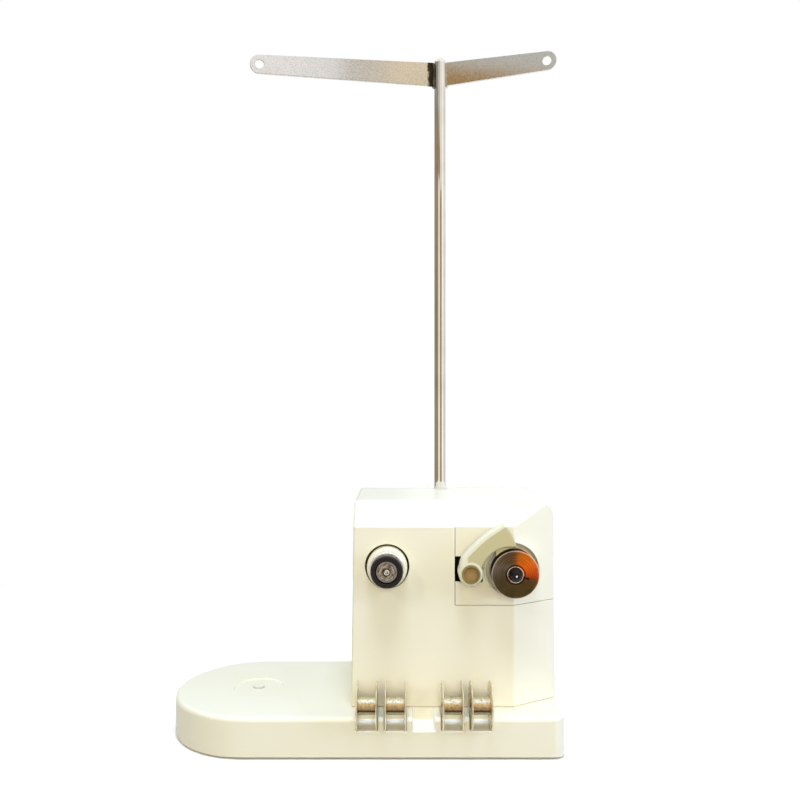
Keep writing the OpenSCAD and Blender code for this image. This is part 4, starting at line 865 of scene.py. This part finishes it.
def lamp(name, place, aim, size, watts, colour):
    """A square soft box aimed at a point, which lights but doesn't show in reflections."""
    light = bpy.data.lights.new(name, "AREA")
    light.shape = "SQUARE"
    light.size = size
    light.energy = watts
    light.color = linear(colour)[:3]
    box = bpy.data.objects.new(name, light)
    box.location = place
    box.rotation_euler = (Vector(aim) - Vector(place)).to_track_quat("-Z", "Y").to_euler()
    box.visible_glossy = False
    scene.collection.objects.link(box)


# Two small front lamps, whose shadows fall down to either side; soft ones above, behind, right and front.
KEY_AIM = (0.03, -0.03, 0.08)
lamp("key_left", (-0.95, -1.25, 1.05), KEY_AIM, 0.12, 3.3, "#FFFBF3")
lamp("key_right", (1.02, -1.25, 1.05), KEY_AIM, 0.12, 2.0, "#FFFCF6")
lamp("top_soft", (0.03, -0.45, 1.50), (0.0, 0.0, 0.05), 0.5, 18.6, "#C4DCFF")
lamp("back_soft", (-0.65, 0.75, 1.25), (-0.02, 0.0, 0.05), 0.8, 8.0, "#CFE2FF")
lamp("side_soft", (1.5, -0.45, 0.6), (0.05, 0.0, 0.05), 0.8, 20.0, "#B6CDFF")
lamp("front_soft", (0.017, -1.25, 0.36), (0.03, 0.0, 0.06), 0.5, 6.5, "#FFF6DC")

# Floor: white paper sweep, plain white away from the object, with the soft shadow kept near it.
WHITE = (1.0, 1.0, 1.0, 1.0)
SHADOW_FADE = {"From Min": 0.15, "From Max": 0.42}
sweep, tree, place = new_finish("white_paper_sweep")
fibre = add(tree, "ShaderNodeTexNoise", {"Scale": per_mm(40), "Detail": 3.0}, {"Vector": place})
paper = add(tree, "ShaderNodeValToRGB", {"stops": ((0.3, "#F0EBE0"), (0.7, "#F5F1E7"))}, {"Fac": fibre})
matt = add(tree, "ShaderNodeBsdfDiffuse", {"Roughness": 0.6}, {"Color": paper})
# It throws less light back on the object than it shows.
path = add(tree, "ShaderNodeLightPath", {}).outputs
dull = add(tree, "ShaderNodeBsdfDiffuse", {"Color": linear("#8E8D88"), "Roughness": 0.6})
matt = add(tree, "ShaderNodeMixShader", {}, {0: path["Is Diffuse Ray"], 1: matt, 2: dull})
seen = add(tree, "ShaderNodeMath", {"operation": "MAXIMUM"},
           {0: path["Is Camera Ray"], 1: path["Is Glossy Ray"]})
away = add(tree, "ShaderNodeVectorMath", {"operation": "LENGTH"}, {0: place})
far = add(tree, "ShaderNodeMapRange", {"interpolation_type": "SMOOTHSTEP", **SHADOW_FADE},
          {"Value": away.outputs["Value"]})
cover = add(tree, "ShaderNodeMath", {"operation": "MULTIPLY"}, {0: far, 1: seen})
white = add(tree, "ShaderNodeEmission", {"Color": WHITE, "Strength": 1.0})
both = add(tree, "ShaderNodeMixShader", {}, {0: cover, 1: matt, 2: white})
add(tree, "ShaderNodeOutputMaterial", {}, {"Surface": both})
ground = bmesh.new()
bmesh.ops.create_grid(ground, x_segments=1, y_segments=1, size=6.0)
floor = solid_of("paper_floor", ground)
floor.data.materials.append(sweep)

# World: white to the camera and in reflections, softer as fill light.
world = bpy.data.worlds.new("white_room")
world.use_nodes = True
tree = world.node_tree
tree.nodes.clear()
path = add(tree, "ShaderNodeLightPath", {}).outputs
plain = add(tree, "ShaderNodeMath", {"operation": "MAXIMUM"},
            {0: path["Is Camera Ray"], 1: path["Is Glossy Ray"]})
plain = add(tree, "ShaderNodeMath", {"operation": "MAXIMUM"}, {0: plain, 1: path["Is Transmission Ray"]})
fill = add(tree, "ShaderNodeBackground", {"Color": linear("#FEFBFA"), "Strength": 0.40})
sky = add(tree, "ShaderNodeBackground", {"Color": WHITE, "Strength": 1.0})
both = add(tree, "ShaderNodeMixShader", {}, {0: plain, 1: fill, 2: sky})
add(tree, "ShaderNodeOutputWorld", {}, {"Surface": both})
scene.world = world

# Cards stand round this point, at this reach in metres and curved in steps, or lie just over the floor.
CARDS_ROUND = (0.0377, 0.0)
CARD_REACH = 0.9
CARD_STEPS = 12
CARD_LIFT = 0.002


def reflected(name, shape, low, high, start, end, axis):
    """A card that only reflections see: its colour runs from low to high between two places on an axis."""
    finish, tree, place = new_finish(name + "_card")
    split = add(tree, "ShaderNodeSeparateXYZ", {}, {"Vector": place})
    run = add(tree, "ShaderNodeMapRange", {"From Min": start, "From Max": end},
              {"Value": split.outputs[axis]})
    mottle = add(tree, "ShaderNodeTexNoise", {"Scale": per_mm(220), "Detail": 3.0}, {"Vector": place})
    level = add(tree, "ShaderNodeMapRange",
                {"From Min": 0.3, "From Max": 0.7, "To Min": 0.85, "To Max": 1.15}, {"Value": mottle})
    tone = add(tree, "ShaderNodeValToRGB", {"stops": ((0.0, low[0]), (1.0, high[0]))}, {"Fac": run})
    power = add(tree, "ShaderNodeMapRange", {"To Min": low[1], "To Max": high[1]}, {"Value": run})
    both = add(tree, "ShaderNodeMath", {"operation": "MULTIPLY"}, {0: power, 1: level})
    shine = add(tree, "ShaderNodeEmission", {}, {"Color": tone, "Strength": both})
    add(tree, "ShaderNodeOutputMaterial", {}, {"Surface": shine})
    board = solid_of(name, shape)
    board.data.materials.append(finish)
    board.visible_camera = False
    board.visible_diffuse = False
    board.visible_transmission = False
    board.visible_shadow = False


def wall(name, low, high, start, end, bottom, top, reach=CARD_REACH, centre=CARDS_ROUND, axis="Z"):
    """A curved card round a point; bearings in degrees, 0 to the front and + to the right.

    Low and high are a colour and its strength. Bottom and top may slant from one height to another.
    """
    shape = bmesh.new()
    bottoms = bottom if isinstance(bottom, tuple) else (bottom, bottom)
    tops = top if isinstance(top, tuple) else (top, top)
    last = None
    for i in range(CARD_STEPS + 1):
        share = i / CARD_STEPS
        bearing = math.radians(start + (end - start) * share)
        x, y = centre[0] + reach * math.sin(bearing), centre[1] - reach * math.cos(bearing)
        pair = [shape.verts.new((x, y, side[0] + (side[1] - side[0]) * share)) for side in (bottoms, tops)]
        if last:
            shape.faces.new((last[0], pair[0], pair[1], last[1]))
        last = pair
    ends = [centre[0] + reach * math.sin(math.radians(b)) for b in (start, end)]
    edge = (min(bottoms), max(tops)) if axis == "Z" else ends
    reflected(name, shape, low, high, edge[0], edge[1], axis)


def mat(name, low, high, left, right, near, far):
    """A flat card just over the floor, its colour running from far to near."""
    shape = bmesh.new()
    corners = ((left, far), (right, far), (right, near), (left, near))
    shape.faces.new([shape.verts.new((x, y, CARD_LIFT)) for x, y in corners])
    reflected(name, shape, low, high, far, near, "Y")


# What the bright metal mirrors. On the mast, left to right: dark corner, tan wall, door, cream and grey side.
wall("dark_corner", ("#A5A29C", 0.95), ("#968D82", 0.95), -180, -46, 0.0, 0.9, axis="X")
wall("tan_wall", ("#FBEBD2", 1.0), ("#F6DFC6", 1.0), -46, -4, 0.0, 0.6)
wall("brown_door", ("#8F7B5C", 1.0), ("#8F7B5C", 1.0), -4, 25, 0.0, 0.58)
wall("cream_side", ("#FFFDF4", 1.0), ("#FFFDF4", 1.0), 25, 66, 0.0, 0.9)
wall("grey_side", ("#D8D8D5", 1.0), ("#DEDEDC", 1.0), 66, 112, 0.0, 0.9)
# On the right arm tan below grey; on the left arm white, grey and cream from its eye to the mast.
wall("tan_band", ("#A4804A", 1.0), ("#A4804A", 1.0), -46, -15, 0.6, (0.748, 0.652))
wall("grey_band", ("#C3C6C2", 1.0), ("#C3C6C2", 1.0), -46, -15, (0.748, 0.652), 1.2)
wall("tan_top", ("#D8B284", 1.0), ("#D8B284", 1.0), -15, -4, 0.6, 0.9)
wall("white_band", ("#FBFAFC", 1.0), ("#F3F2F3", 1.0), -4, 10.2, 0.58, 0.9, axis="X")
wall("mottled_band", ("#CDCBC7", 1.0), ("#D8CFC0", 1.0), 10.2, 15, 0.58, 0.9, axis="X")
wall("cream_band", ("#E8D9BF", 1.0), ("#E8D9BF", 1.0), 15, 25, 0.58, 0.9)
# On the bobbin an orange box to the upper right and a brown table below; on the tension unit grey.
wall("orange_box", ("#FF5A10", 1.9), ("#FF9420", 2.5), 9.5, 30, 0.048, 0.0915, 0.12,
     (SPINDLE[0] * MM, BOBBIN_FRONT * MM))
mat("brown_table", ("#97866F", 1.0), ("#857849", 1.0), 0.024, 0.24, -0.10, -0.75)
mat("grey_table", ("#D2CAC7", 0.95), ("#A39A90", 0.9), -0.14, 0.024, -0.10, -0.75)
